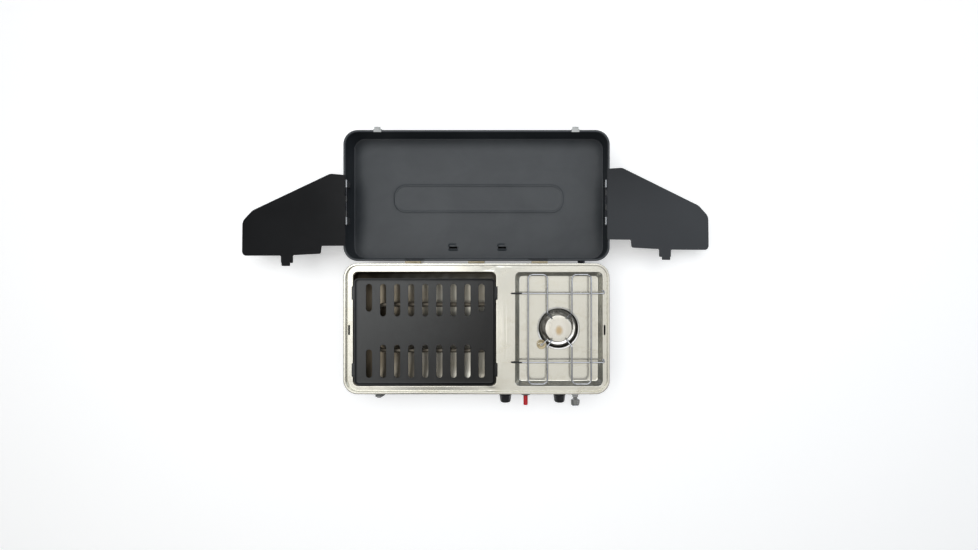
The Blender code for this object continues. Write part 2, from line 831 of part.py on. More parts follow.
def make_grate():
    """Two crossing bars on the deck, and two looped wires welded across them."""
    bar_z = DECK_TOP + GAP + WIRE_RADIUS
    loop_z = bar_z + 2 * WIRE_RADIUS + GAP
    for name, y in (("front", BAR_FRONT), ("back", BAR_BACK)):
        ends = [(BAR_LEFT, y, bar_z), (BAR_RIGHT, y, bar_z)]
        bar = wire(f"grate_bar_{name}", ends, WIRE_RADIUS)
        dress(bar, CHROME)
    for name, side in (("left", -1), ("right", 1)):
        inner = GRATE_CENTRE + side * LOOP_INNER
        outer = GRATE_CENTRE + side * LOOP_OUTER
        tip = GRATE_CENTRE + side * LOOP_TIP
        tip_z = loop_z - LOOP_TIP_DROP
        points = [
            (tip, BURNER.y + LOOP_TIP_REACH, tip_z),
            (inner, BURNER.y + LOOP_BEND_REACH, loop_z),
            (inner, LOOP_BACK, loop_z),
            (outer, LOOP_BACK, loop_z),
            (outer, LOOP_FRONT, loop_z),
            (inner, LOOP_FRONT, loop_z),
            (inner, BURNER.y - LOOP_BEND_REACH, loop_z),
            (tip, BURNER.y - LOOP_TIP_REACH, tip_z),
        ]
        bend = LOOP_CORNER / 2
        radii = [0, bend, LOOP_CORNER, LOOP_CORNER, LOOP_CORNER, LOOP_CORNER, bend, 0]
        route = round_corners(points, radii, 4, closed=False)
        loop = wire(f"grate_loop_{name}", route, WIRE_RADIUS)
        dress(loop, CHROME)


def make_gas_line():
    """Two valves on one pipe behind the front wall, a tube to each burner and the inlet."""
    half = VALVE_WIDTH / 2
    front = FRONT + SHEET + VALVE_SETBACK
    back = front + VALVE_LENGTH
    valve_y = front + VALVE_LENGTH / 3
    pipe_z = CONTROL_Z - half - GAP - MANIFOLD_RADIUS
    for name, x in KNOB_PLACES:
        valve = box(
            f"valve_{name}",
            (x - half, front, CONTROL_Z - half),
            (x + half, back, CONTROL_Z + half),
        )
        bore = rod(
            "stem_bore",
            (x, front - PAST, CONTROL_Z),
            (x, front + STEM_INSIDE, CONTROL_Z),
            VALVE_STEM_RADIUS + GAP,
        )
        cut(valve, bore)
        dress(valve, BRASS, smooth=False)
    first = KNOB_PLACES[0][1] - half - PAST
    last = MANIFOLD_END_X
    manifold = rod(
        "gas_manifold", (first, valve_y, pipe_z), (last, valve_y, pipe_z), MANIFOLD_RADIUS
    )
    dress(manifold, BRASS)

    inner_end = HALF_DEPTH - INLET_INSIDE
    points = [
        (last + GAP, valve_y, pipe_z),
        (SUPPLY_X, valve_y, pipe_z),
        (SUPPLY_X, 0, INLET_Z),
        (SUPPLY_X, inner_end - 22 * MM, INLET_Z),
        (INLET_X, inner_end - 12 * MM, INLET_Z),
        (INLET_X, inner_end - GAP, INLET_Z),
    ]
    radii = [0, 12 * MM, 40 * MM, 14 * MM, 8 * MM, 0]
    route = round_corners(points, radii, 5, closed=False)
    supply = wire("supply_pipe", route, TUBE_RADIUS)
    dress(supply, ALUMINIUM)

    nut_end = INLET_OUTSIDE - 6 * MM
    profile = [
        (0, INLET_OUTSIDE),
        (INLET_RADIUS, INLET_OUTSIDE),
        (INLET_RADIUS, nut_end),
        (INLET_NUT_RADIUS, nut_end),
        (INLET_NUT_RADIUS, GAP),
        (INLET_RADIUS, GAP),
        (INLET_RADIUS, -INLET_INSIDE),
        (0, -INLET_INSIDE),
    ]
    inlet = turned("gas_inlet", profile, 18)
    inlet.location = (INLET_X, HALF_DEPTH, INLET_Z)
    inlet.rotation_euler.x = -math.radians(90)
    dress(inlet, BRASS)

    knob_x = dict(KNOB_PLACES)
    start = back + GAP
    burner_end = GRIDDLE_OPENING[1] + 8 * MM + GAP
    points = [
        (knob_x["left"], start, CONTROL_Z),
        (knob_x["left"], TUBE_BURNER_FEED_Y - 30 * MM, CONTROL_Z),
        (knob_x["left"], TUBE_BURNER_FEED_Y, TUBE_BURNER_Z),
        (burner_end, TUBE_BURNER_FEED_Y, TUBE_BURNER_Z),
    ]
    route = round_corners(points, [0, 10 * MM, 8 * MM, 0], 4, closed=False)
    tube = wire("griddle_feed", route, TUBE_RADIUS)
    dress(tube, ALUMINIUM)
    stem_low = WELL_FLOOR + GAP - BOWL_DEPTH - STEM_BELOW
    low = stem_low - 9 * MM
    points = [
        (knob_x["right"], start, CONTROL_Z),
        (knob_x["right"], start + 12 * MM, CONTROL_Z),
        (knob_x["right"], start + 45 * MM, low),
        (BURNER.x, BURNER.y, low),
        (BURNER.x, BURNER.y, stem_low - GAP),
    ]
    route = round_corners(points, [0, 10 * MM, 12 * MM, 7 * MM, 0], 4, closed=False)
    tube = wire("burner_feed", route, TUBE_RADIUS)
    dress(tube, ALUMINIUM)


def make_controls():
    for name, x in KNOB_PLACES:
        axis = axis_empty(f"knob_{name}_axis", (x, FRONT, CONTROL_Z))
        stem = rod(
            f"valve_stem_{name}",
            (x, FRONT + SHEET + STEM_INSIDE, CONTROL_Z),
            (x, FRONT - KNOB_STANDOFF - KNOB_BORE_DEPTH, CONTROL_Z),
            VALVE_STEM_RADIUS,
        )
        dress(stem, CHROME)
        hang(stem, axis)
        bore = VALVE_STEM_RADIUS + GAP
        profile = [
            (0, KNOB_LENGTH),
            (KNOB_END_RADIUS - 1.5 * MM, KNOB_LENGTH),
            (KNOB_END_RADIUS, KNOB_LENGTH - 1.5 * MM),
            (KNOB_RADIUS, 2 * MM),
            (KNOB_RADIUS - 1 * MM, 0),
            (bore, 0),
            (bore, KNOB_BORE_DEPTH + GAP),
            (0, KNOB_BORE_DEPTH + GAP),
        ]
        knob = turned(f"knob_{name}", profile, 24)
        knob.location = (x, FRONT - KNOB_STANDOFF, CONTROL_Z)
        knob.rotation_euler.x = math.radians(90)
        dress(knob, BLACK_PLASTIC)
        hang(knob, axis)

    bore = BUTTON_RADIUS + BUTTON_CLEARANCE
    profile = ring_profile(
        [
            (IGNITER_RADIUS, 0),
            (IGNITER_RADIUS, -IGNITER_LENGTH),
            (bore, -IGNITER_LENGTH),
            (bore, 0),
        ]
    )
    body = turned("igniter_body", profile, 20)
    body_end = FRONT - IGNITER_PROUD + IGNITER_LENGTH
    back_plug = rod(
        "igniter_end",
        (IGNITER_X, body_end - IGNITER_END / 2, CONTROL_Z),
        (IGNITER_X, body_end + IGNITER_END / 2, CONTROL_Z),
        IGNITER_RADIUS - 1 * MM,
    )
    body.location = (IGNITER_X, FRONT - IGNITER_PROUD, CONTROL_Z)
    body.rotation_euler.x = math.radians(90)
    join(body, back_plug)
    dress(body, BLACK_PLASTIC)

    clear = IGNITER_RADIUS + GAP
    seat = IGNITER_PROUD + 1 * MM
    profile = ring_profile(
        [
            (bore + 2.5 * MM, BEZEL_DEPTH),
            (BEZEL_RADIUS - 2 * MM, BEZEL_DEPTH / 2),
            (BEZEL_RADIUS, 2.5 * MM),
            (BEZEL_RADIUS, GAP),
            (clear, GAP),
            (clear, seat),
            (bore, seat),
            (bore, BEZEL_DEPTH),
        ]
    )
    bezel = turned("igniter_bezel", profile, 24)
    bezel.location = (IGNITER_X, FRONT, CONTROL_Z)
    bezel.rotation_euler.x = math.radians(90)
    dress(bezel, BLACK_PLASTIC)

    profile = [
        (0, BUTTON_REACH),
        (BUTTON_RADIUS - 1 * MM, BUTTON_REACH),
        (BUTTON_RADIUS, BUTTON_REACH - 1 * MM),
        (BUTTON_RADIUS, -BUTTON_INSIDE),
        (0, -BUTTON_INSIDE),
    ]
    button = turned("igniter_button", profile, 20)
    button.location = (IGNITER_X, FRONT, CONTROL_Z)
    button.rotation_euler.x = math.radians(90)
    dress(button, RED_PLASTIC)


def make_lid():
    axis = axis_empty("lid_axis", (0, HINGE_Y, HINGE_Z))
    corner = CASE_CORNER
    soft = RIM_ROUND
    rings = [
        (inset(LID, RIM_WIDTH), corner - RIM_WIDTH, BASE_HEIGHT - RIM_DROP),
        (inset(LID, RIM_WIDTH), corner - RIM_WIDTH, BASE_HEIGHT - soft),
        (inset(LID, RIM_WIDTH - soft), corner - RIM_WIDTH, BASE_HEIGHT),
        (inset(LID, soft), corner - soft, BASE_HEIGHT),
        (LID, corner, BASE_HEIGHT - soft),
    ]
    rings += rounded_floor(LID, corner, LID_FILLET, LID_FLOOR + LID_FILLET, LID_FLOOR)
    lid = pan("lid_shell", rings, SHEET)
    near = LID[2]
    for side in (-1, 1):
        middle = side * (WING_X - NUB_CENTRE)
        relief = box(
            "nub_relief",
            (middle - NUB_RELIEF / 2, near + 2 * SHEET, BASE_HEIGHT - 2 * RIM_DROP),
            (middle + NUB_RELIEF / 2, near + RIM_WIDTH + SHEET, BASE_HEIGHT + RIM_DROP),
        )
        cut(lid, relief)
    rest_low = LID_FLOOR + 0.3 * SHEET
    rest_top = LID_FLOOR + SHEET + REST_HEIGHT
    rest_front = LID_Y - REST_DEPTH_FROM_MIDDLE
    for start, end in REST_SPANS:
        post = box(
            "rest_post",
            (start, rest_front, rest_low),
            (end, rest_front + REST_SHEET, rest_top),
        )
        tongue = box(
            "rest_tongue",
            (start, rest_front, rest_top - REST_SHEET),
            (end, rest_front + REST_LENGTH, rest_top),
        )
        join(lid, post, tongue)
    dress(lid, SLATE_PAINT)
    hang(lid, axis)

    for name, side in (("left", -1), ("right", 1)):
        x = side * LATCH_PITCH
        half = KEEPER_WIDTH / 2
        hook_half = half - 2 * MM
        wall = LID[3] + GAP
        outer = wall + KEEPER_SHEET
        strap_low = BASE_HEIGHT + GAP
        top = strap_low + KEEPER_SHEET
        keeper = box(
            f"keeper_{name}",
            (x - half, wall, BASE_HEIGHT - KEEPER_DEPTH),
            (x + half, outer, top),
        )
        strap = box(
            "keeper_strap",
            (x - half, LID[3] - RIM_WIDTH - 0.5 * SHEET, strap_low),
            (x + half, outer, top),
        )
        hook = box(
            "keeper_hook",
            (x - hook_half, wall, strap_low),
            (x + hook_half, wall + KEEPER_HOOK, top),
        )
        join(keeper, strap, hook)
        dress(keeper, CHROME, smooth=False)
        hang(keeper, axis)
    return axis


def make_hinges(lid_axis):
    """Three butt hinges: two outer knuckles on the base, one middle knuckle on the lid."""
    bore = HINGE_PIN_RADIUS + PIN_CLEARANCE
    clear = KNUCKLE_RADIUS + 0.4 * MM
    half = HINGE_WIDTH / 2
    split = HINGE_MIDDLE / 2
    low = HINGE_Z - LEAF_LENGTH
    for number, x in enumerate((-HINGE_PITCH, 0, HINGE_PITCH), 1):
        for owner, side in (("base", -1), ("lid", 1)):
            outer = HINGE_Y + side * KNUCKLE_RADIUS
            inner = outer - side * LEAF_THICKNESS
            front, back = min(outer, inner), max(outer, inner)
            leaf = box(
                f"hinge_leaf_{owner}_{number}",
                (x - half, front, low),
                (x + half, back, HINGE_Z - clear),
            )
            if owner == "base":
                spans = ((x - half, x - split - GAP), (x + split + GAP, x + half))
            else:
                spans = ((x - split, x + split),)
            for start, end in spans:
                neck = box("neck", (start, front, HINGE_Z - 2 * clear), (end, back, HINGE_Z))
                axis_from, axis_to = (start, HINGE_Y, HINGE_Z), (end, HINGE_Y, HINGE_Z)
                join(leaf, neck, rod("knuckle", axis_from, axis_to, KNUCKLE_RADIUS))
            hole = rod(
                "pin_bore",
                (x - half - PAST, HINGE_Y, HINGE_Z),
                (x + half + PAST, HINGE_Y, HINGE_Z),
                bore,
            )
            cut(leaf, hole)
            dress(leaf, ZINC_YELLOW)
            if owner == "lid":
                hang(leaf, lid_axis)
        pin = rod(
            f"hinge_pin_{number}",
            (x - half - 2 * GAP, HINGE_Y, HINGE_Z),
            (x + half + 2 * GAP, HINGE_Y, HINGE_Z),
            HINGE_PIN_RADIUS,
            segments=16,
        )
        dress(pin, CHROME)


def wing_outline():
    """The panel's edge as (distance from its hinge, distance from the lid's hinge)."""
    nub_half = NUB_WIDTH / 2
    corners = [
        (WING_ROOT, WING_NOTCH_EDGE, 0),
        (WING_NOTCH_LENGTH, WING_NOTCH_EDGE, 3),
        (WING_NOTCH_LENGTH + 2 * MM, WING_NEAR_EDGE + 3 * MM, 5),
        (TAB_START, WING_NEAR_EDGE, 3),
        (TAB_START, TAB_EDGE, 3),
        (NUB_CENTRE - nub_half, TAB_EDGE, 0),
        (NUB_CENTRE - nub_half, NUB_EDGE, 2),
        (NUB_CENTRE + nub_half, NUB_EDGE, 2),
        (NUB_CENTRE + nub_half, TAB_EDGE, 0),
        (TAB_END, TAB_EDGE, 3),
        (TAB_END, WING_NEAR_EDGE - 1 * MM, 3),
        (WING_REACH, WING_NEAR_EDGE - 1 * MM, 11),
        (WING_REACH - 1 * MM, 97 * MM, 22),
        (WING_REACH - 28 * MM, 122 * MM, 25),
        (40 * MM, WING_FAR_EDGE, 22),
        (WING_ROOT, WING_FAR_EDGE - 4.4 * MM, 0),
    ]
    points = [(s, h, 0) for s, h, _ in corners]
    return round_corners(points, [radius * MM for _, _, radius in corners], 4)


def make_wings(lid_axis):
    sides = (("left", -1, LEFT_DROOP, 0), ("right", 1, RIGHT_DROOP, RIGHT_LIFT))
    for name, side, droop, lift in sides:
        place = (side * WING_X, HINGE_Y, WING_Z)
        turn = math.radians(droop if side > 0 else 180 - droop)
        for number, along in enumerate(SLEEVES, 1):
            make_sleeve(f"wing_sleeve_{name}_{number}", side, along, lid_axis)
        swing = axis_empty(f"wing_{name}_axis", place, (0, turn, 0), lid_axis)

        start = HINGE_Y + SLEEVES[0] - SLEEVE_LENGTH / 2
        end = HINGE_Y + SLEEVES[1] + SLEEVE_LENGTH / 2
        head = 1.5 * MM
        x, z = side * WING_X, WING_Z
        pin = rod(
            f"wing_pin_{name}",
            (x, start - GAP - head / 2, z),
            (x, end + GAP + head / 2, z),
            WING_PIN_RADIUS,
        )
        for inner, outer in ((start - GAP, start - GAP - head), (end + GAP, end + GAP + head)):
            join(pin, rod("pin_head", (x, inner, z), (x, outer, z), SLEEVE_RADIUS))
        dress(pin, CHROME)
        hang(pin, swing)

        wing = plate(f"wing_{name}", wing_outline(), -SHEET / 2, SHEET / 2)
        bore = rod(
            "wing_bore",
            (0, WING_NOTCH_EDGE, 0),
            (0, WING_FAR_EDGE, 0),
            WING_PIN_RADIUS + GAP,
        )
        for along in WING_EYES:
            eye = rod("wing_eye", (0, along, 0), (0, along + WING_EYE_LENGTH, 0), WING_EYE_RADIUS)
            web = box(
                "wing_web",
                (WING_EYE_RADIUS - 1 * MM, along, -0.45 * SHEET),
                (WING_ROOT + 1 * MM, along + WING_EYE_LENGTH, 0.45 * SHEET),
            )
            for tool in (eye, web):
                tool.parent = wing
            join(wing, eye, web)
        bore.parent = wing
        cut(wing, bore)
        wing.location = (place[0], place[1] + lift, place[2])
        wing.rotation_euler = (0, turn, 0)
        dress(wing, POWDER_BLACK)
        hang(wing, swing)


def make_sleeve(name, side, along, lid_axis):
    """A bright tube on a bent strip, which is fixed to the lid's side wall under its rim."""
    x, z = side * WING_X, WING_Z
    start = HINGE_Y + along - SLEEVE_LENGTH / 2
    end = start + SLEEVE_LENGTH
    wall = side * (HALF_WIDTH - SHEET - GAP)
    half = SLEEVE_STRIP / 2
    bend = BASE_HEIGHT - RIM_DROP - 5 * MM
    strip_top = z - WING_PIN_RADIUS - 0.5 * MM
    sleeve = rod(name, (x, start, z), (x, end, z), SLEEVE_RADIUS)
    strip = box(
        "sleeve_strip",
        (x - half, start + 1 * MM, bend),
        (x + half, end - 1 * MM, strip_top),
    )
    shelf_from, shelf_to = sorted((x - side * half, wall))
    shelf = box(
        "sleeve_shelf",
        (shelf_from, start + 1 * MM, bend - 2 * half),
        (shelf_to, end - 1 * MM, bend),
    )
    pad_from, pad_to = sorted((wall, wall - side * 2 * half))
    pad = box(
        "sleeve_pad",
        (pad_from, start + 1 * MM, bend - SLEEVE_PAD),
        (pad_to, end - 1 * MM, bend - half),
    )
    bore = rod(
        "sleeve_bore",
        (x, start - 1 * MM, z),
        (x, end + 1 * MM, z),
        WING_PIN_RADIUS + GAP,
    )
    join(sleeve, strip, shelf, pad)
    cut(sleeve, bore)
    dress(sleeve, CHROME)
    hang(sleeve, lid_axis)


def make_latches():
    """A toggle latch on each side: a plate with two ears, a lever and a wire bail."""
    axis_y = FRONT - LATCH_STANDOFF
    ear_in, ear_out = EAR_FACES
    barrel_half = BARREL_HALF
    plate_half = LATCH_PLATE / 2
    for name, side, opened in (("left", -1, 0.0), ("right", 1, RIGHT_LEVER_OUT)):
        x = side * LATCH_PITCH
        wall = FRONT - GAP
        base = box(
            f"latch_plate_{name}",
            (x - plate_half, wall - 1 * MM, LATCH_Z - 20 * MM),
            (x + plate_half, wall, LATCH_Z + 3 * MM),
        )
        for ear in (-1, 1):
            start, end = sorted((x + ear * ear_in, x + ear * ear_out))
            arm = box(
                "ear_arm",
                (start, axis_y, LATCH_Z - BAIL_TUBE),
                (end, wall - 0.5 * MM, LATCH_Z + BAIL_TUBE),
            )
            tip = rod("ear_tip", (start, axis_y, LATCH_Z), (end, axis_y, LATCH_Z), BAIL_TUBE)
            join(base, arm, tip)
        pin = rod(
            "latch_pin",
            (x - ear_out + 0.4 * MM, axis_y, LATCH_Z),
            (x + ear_out - 0.4 * MM, axis_y, LATCH_Z),
            LATCH_PIN,
            segments=16,
        )
        join(base, pin)
        dress(base, CHROME, smooth=False)

        place = (x, axis_y, LATCH_Z)
        turn = (-math.radians(opened), 0, 0)
        lever_axis = axis_empty(f"latch_{name}_axis", place, turn)
        lever = rod(f"latch_lever_{name}", (-barrel_half, 0, 0), (barrel_half, 0, 0), LATCH_BARREL)
        half = LATCH_WIDTH / 2
        narrow = barrel_half
        outline = [
            (-narrow, 0, 0),
            (-narrow, -4.5 * MM, 0),
            (-half, -8 * MM, 0),
            (-half + 1 * MM, -LATCH_LEVER + 3 * MM, 0),
            (-half + 5 * MM, -LATCH_LEVER, 0),
            (half - 5 * MM, -LATCH_LEVER, 0),
            (half - 1 * MM, -LATCH_LEVER + 3 * MM, 0),
            (half, -8 * MM, 0),
            (narrow, -4.5 * MM, 0),
            (narrow, 0, 0),
        ]
        radii = [0, 1.5 * MM, 2 * MM, 2 * MM, 2 * MM, 2 * MM, 2 * MM, 2 * MM, 1.5 * MM, 0]
        face = plate("lever_face", round_corners(outline, radii, 2), 1.2 * MM, LATCH_BARREL)
        bake(face, Matrix.Rotation(math.radians(90), 4, "X"))
        bail_out = LATCH_BARREL + BAIL_TUBE - GAP
        tube = rod(
            "bail_tube",
            (-4 * MM, -bail_out, -BAIL_PLACE),
            (4 * MM, -bail_out, -BAIL_PLACE),
            BAIL_TUBE,
        )
        lever_bore = rod("lever_bore", (-half, 0, 0), (half, 0, 0), LATCH_PIN + GAP, segments=16)
        bail_bore = rod(
            "bail_bore",
            (-half, -bail_out, -BAIL_PLACE),
            (half, -bail_out, -BAIL_PLACE),
            BAIL_WIRE + GAP,
            segments=16,
        )
        for tool in (face, tube, lever_bore, bail_bore):
            tool.parent = lever
        join(lever, face, tube)
        cut(lever, lever_bore, bail_bore)
        lever.location = place
        lever.rotation_euler = turn
        dress(lever, CHROME)
        hang(lever, lever_axis)

        hinge_point = Vector((0, -bail_out, -BAIL_PLACE))
        hinge_point.rotate(Matrix.Rotation(turn[0], 3, "X"))
        bail_axis = axis_empty(f"bail_{name}_axis", Vector(place) + hinge_point, turn, lever_axis)
        corners = [
            (-BAIL_HALF_WIDTH, 0, 0),
            (BAIL_HALF_WIDTH, 0, 0),
            (BAIL_HALF_WIDTH - 1 * MM, 0, -BAIL_LENGTH),
            (-BAIL_HALF_WIDTH + 1 * MM, 0, -BAIL_LENGTH),
        ]
        loop = wire(f"latch_bail_{name}", round_corners(corners, 1.3 * MM, 3), BAIL_WIRE, closed=True)
        loop.location = Vector(place) + hinge_point
        loop.rotation_euler = turn
        dress(loop, CHROME)
        hang(loop, bail_axis)


make_base()
make_deck()
make_firebox()
make_griddle()
make_burner()
make_electrode()
make_grate()
make_gas_line()
make_controls()
LID_AXIS = make_lid()
make_hinges(LID_AXIS)
make_wings(LID_AXIS)
make_latches()
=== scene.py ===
import json
import math

import bmesh
import bpy
import numpy as np
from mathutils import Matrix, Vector


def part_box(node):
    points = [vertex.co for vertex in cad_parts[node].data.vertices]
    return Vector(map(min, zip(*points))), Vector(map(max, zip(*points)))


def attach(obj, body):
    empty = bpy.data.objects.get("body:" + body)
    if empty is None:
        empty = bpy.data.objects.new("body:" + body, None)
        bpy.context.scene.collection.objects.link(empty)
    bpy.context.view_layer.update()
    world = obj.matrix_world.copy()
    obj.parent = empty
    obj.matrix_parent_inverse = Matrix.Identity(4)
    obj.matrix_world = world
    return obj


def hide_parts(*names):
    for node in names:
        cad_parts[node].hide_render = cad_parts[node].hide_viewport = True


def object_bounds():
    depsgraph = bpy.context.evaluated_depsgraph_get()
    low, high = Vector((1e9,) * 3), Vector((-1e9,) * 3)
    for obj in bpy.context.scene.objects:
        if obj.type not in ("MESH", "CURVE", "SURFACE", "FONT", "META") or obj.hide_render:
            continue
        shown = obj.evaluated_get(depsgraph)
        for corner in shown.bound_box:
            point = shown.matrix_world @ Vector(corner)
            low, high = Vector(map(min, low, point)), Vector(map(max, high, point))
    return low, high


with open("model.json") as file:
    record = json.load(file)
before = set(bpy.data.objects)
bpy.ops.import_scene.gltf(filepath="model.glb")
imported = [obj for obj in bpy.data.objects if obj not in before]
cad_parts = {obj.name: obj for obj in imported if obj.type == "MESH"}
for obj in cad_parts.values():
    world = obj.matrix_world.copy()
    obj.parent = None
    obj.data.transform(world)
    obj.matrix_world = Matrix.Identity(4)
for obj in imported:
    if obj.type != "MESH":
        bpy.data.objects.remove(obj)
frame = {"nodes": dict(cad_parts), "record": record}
cadLow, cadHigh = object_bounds()
mm = 0.001
fullTurn = 2 * math.pi


# node trees

class Feed:
    # one output socket of a material or a light, so that sums and products on it add Math nodes
    def __init__(self, tree, socket):
        self.tree = tree
        self.socket = socket

    def maths(self, operation, first, second=0.0):
        return self.tree.node("ShaderNodeMath", {"operation": operation}, {0: first, 1: second})

    def __add__(self, value):
        return self.maths("ADD", self, value)

    def __radd__(self, value):
        return self.maths("ADD", value, self)

    def __sub__(self, value):
        return self.maths("SUBTRACT", self, value)

    def __rsub__(self, value):
        return self.maths("SUBTRACT", value, self)

    def __mul__(self, value):
        return self.maths("MULTIPLY", self, value)

    def __rmul__(self, value):
        return self.maths("MULTIPLY", value, self)


class Finish:
    # a surface finish being made up; node() adds a node and hands back its output
    def __init__(self, name, **constants):
        self.material = bpy.data.materials.new(name)
        self.material.use_nodes = True
        self.tree = self.material.node_tree
        self.shader = self.tree.nodes["Principled BSDF"]
        self.place = self.node("ShaderNodeTexCoord", output="Object")
        for socket, value in constants.items():
            self.set(socket.replace("_", " "), value)

    def node(self, kind, settings=None, inputs=None, output=0):
        made = self.tree.nodes.new(kind)
        for key, value in (settings or {}).items():
            if key == "stops":
                self.ramp(made, value)
            else:
                setattr(made, key, value)
        for key, value in (inputs or {}).items():
            self.join(made.inputs[key], value)
        return Feed(self, made.outputs[output])

    def ramp(self, made, stops):
        elements = made.color_ramp.elements
        while len(elements) < len(stops):
            elements.new(0.5)
        for element, (position, shade) in zip(elements, stops):
            element.position = position
            element.color = (*shade, 1) if isinstance(shade, tuple) else (shade, shade, shade, 1)

    def join(self, socket, value):
        if isinstance(value, Feed):
            self.tree.links.new(value.socket, socket)
        else:
            socket.default_value = value

    def set(self, socket, value):
        if isinstance(value, tuple) and len(value) == 3:
            value = (*value, 1)
        self.join(self.shader.inputs[socket], value)

    def mapped(self, stretch=(1, 1, 1), centre=(0, 0, 0), rotation=(0, 0, 0)):
        shift = tuple(-c * s for c, s in zip(centre, stretch))
        inputs = {"Vector": self.place, "Location": shift, "Rotation": rotation, "Scale": stretch}
        return self.node("ShaderNodeMapping", {}, inputs)

    def noise(self, size, detail=2.0, rough=0.5, stretch=(1, 1, 1), warp=0.0):
        # size is the width of one blotch in metres
        inputs = {"Vector": self.mapped(stretch), "Scale": 1 / size, "Detail": detail}
        inputs.update({"Roughness": rough, "Distortion": warp})
        return self.node("ShaderNodeTexNoise", {}, inputs)

    def between(self, value, low, high):
        # 0 below low, 1 above high, smooth in between
        inputs = {"Value": value, "From Min": low, "From Max": high}
        return self.node("ShaderNodeMapRange", {"interpolation_type": "SMOOTHSTEP"}, inputs)

    def mix(self, share, first, second):
        colours = [(*c, 1) if isinstance(c, tuple) and len(c) == 3 else c for c in (first, second)]
        inputs = {0: share, 6: colours[0], 7: colours[1]}
        return self.node("ShaderNodeMix", {"data_type": "RGBA"}, inputs, output=2)

    def bump(self, height, depth, strength=1.0):
        # depth is the real height of the relief in metres
        inputs = {"Height": height, "Distance": depth, "Strength": strength}
        self.set("Normal", self.node("ShaderNodeBump", {}, inputs))


steel = {
    "colour": (0.66, 0.648, 0.585),
    "stain": (0.60, 0.575, 0.49),
    "roughness": 0.23,
    "brushLength": 0.16,
    "brushWidth": 0.0011,
    "wave": 0.11,
    "waveDepth": 0.0007,
}


def stainlessFinish():
    # rolled stainless sheet: a soft large wave, fine rolling lines along the case and a film of fingerprints
    finish = Finish("stainless", Metallic=1.0)
    wave = finish.noise(steel["wave"], 1.5)
    lines = finish.noise(1.0, 3, 0.6, (1 / steel["brushLength"], 1 / steel["brushWidth"], 1 / 0.02))
    smudge = finish.noise(0.035, 4, 0.62, (1, 1.4, 1), 0.6)
    film = finish.between(smudge, 0.45, 0.75)
    finish.set("Base Color", finish.mix(film * 0.55, steel["colour"], steel["stain"]))
    finish.set("Roughness", steel["roughness"] + film * 0.05 + (lines - 0.5) * 0.05)
    finish.bump(wave + lines * 0.005, steel["waveDepth"])
    return finish.material


def trayFinish():
    # bright pressed tray, browned by heat in broad clouds, with painted shade darkening it towards its left
    # end
    finish = Finish("trayStainless", Metallic=1.0)
    heat = finish.between(finish.noise(0.09, 3, 0.55, (1, 1, 1), 0.4), 0.38, 0.72)
    lines = finish.noise(1.0, 3, 0.6, (1 / 0.1, 1 / 0.0014, 1 / 0.01))
    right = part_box("firebox_tray")[1]
    away = finish.mapped((1, 0, 0), (right.x, 0, 0))
    fromRight = finish.node("ShaderNodeVectorMath", {"operation": "LENGTH"}, {0: away}, "Value")
    # painted shade: the colour turns dark brown with distance from the tray's right edge
    paintedLeftShade = finish.between(fromRight + (heat - 0.5) * 0.04, 0.06, 0.31)
    clean = finish.mix(heat, (0.62, 0.60, 0.53), (0.46, 0.42, 0.34))
    finish.set("Base Color", finish.mix(paintedLeftShade, clean, (0.17, 0.14, 0.10)))
    finish.set("Roughness", 0.32 + heat * 0.1 + (lines - 0.5) * 0.05)
    finish.bump(finish.noise(0.08, 1.5) + lines * 0.01, 0.0005)
    return finish.material


def paintFinish(name, colour, high, roughness, grain=0.0009, depth=0.00005, specular=0.5):
    # powder coat: fine orange peel, faint cloudiness and dust lifting it here and there
    finish = Finish(name, Metallic=0.0)
    finish.set("Specular IOR Level", specular)
    cloud = finish.between(finish.noise(0.12, 3, 0.55, (1, 1.2, 1), 0.3), 0.3, 0.75)
    dust = finish.between(finish.noise(0.004, 3, 0.7), 0.58, 0.82)
    peel = finish.noise(grain, 2, 0.5)
    finish.set("Base Color", finish.mix(cloud * 0.7 + dust * 0.3, colour, high))
    finish.set("Roughness", roughness + (peel - 0.5) * 0.08 + cloud * 0.04)
    finish.bump(peel + finish.noise(0.006, 2) * 0.5, depth)
    return finish.material


def griddleFinish():
    # non-stick coat over cast plate: tiny specks and a satin face, with a painted sheen lightening its colour
    # towards its far left corner
    finish = Finish("griddleCoat", Metallic=0.0)
    finish.set("Specular IOR Level", 0.34)
    speck = finish.between(finish.noise(0.0007, 2, 0.6), 0.62, 0.74)
    cloud = finish.between(finish.noise(0.06, 3, 0.6), 0.35, 0.7)
    low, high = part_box("griddle")
    away = finish.mapped((1, 0, 0), (high.x, 0, 0))
    acrossPlate = finish.node("ShaderNodeVectorMath", {"operation": "LENGTH"}, {0: away}, "Value")
    towardsBack = finish.mapped((0, 1, 0), (0, low.y - 0.05, 0))
    alongPlate = finish.node("ShaderNodeVectorMath", {"operation": "LENGTH"}, {0: towardsBack}, "Value")
    # painted sheen: the colour runs from near black at the right front to grey at the far left corner
    paintedSheen = finish.between(acrossPlate * 0.8 + alongPlate * 0.55 + (cloud - 0.5) * 0.03, 0.07, 0.42)
    colour = finish.mix(paintedSheen, (0.0045, 0.0046, 0.0048), (0.062, 0.064, 0.064))
    finish.set("Base Color", finish.mix(speck * 0.3, colour, (0.07, 0.07, 0.07)))
    finish.set("Roughness", 0.33 + cloud * 0.06 + speck * 0.06)
    finish.bump(finish.noise(0.0012, 2), 0.00006)
    return finish.material


def chromeFinish(name="chromeWire", colour=(0.50, 0.51, 0.53), roughness=0.12):
    # bright plating with a faint ripple and dulled patches
    finish = Finish(name, Metallic=1.0)
    dull = finish.between(finish.noise(0.012, 3, 0.6), 0.5, 0.8)
    finish.set("Base Color", finish.mix(dull, colour, tuple(c * 0.8 for c in colour)))
    finish.set("Roughness", roughness + dull * 0.14)
    finish.bump(finish.noise(0.005, 2) + finish.noise(0.0008, 1) * 0.15, 0.00012)
    return finish.material


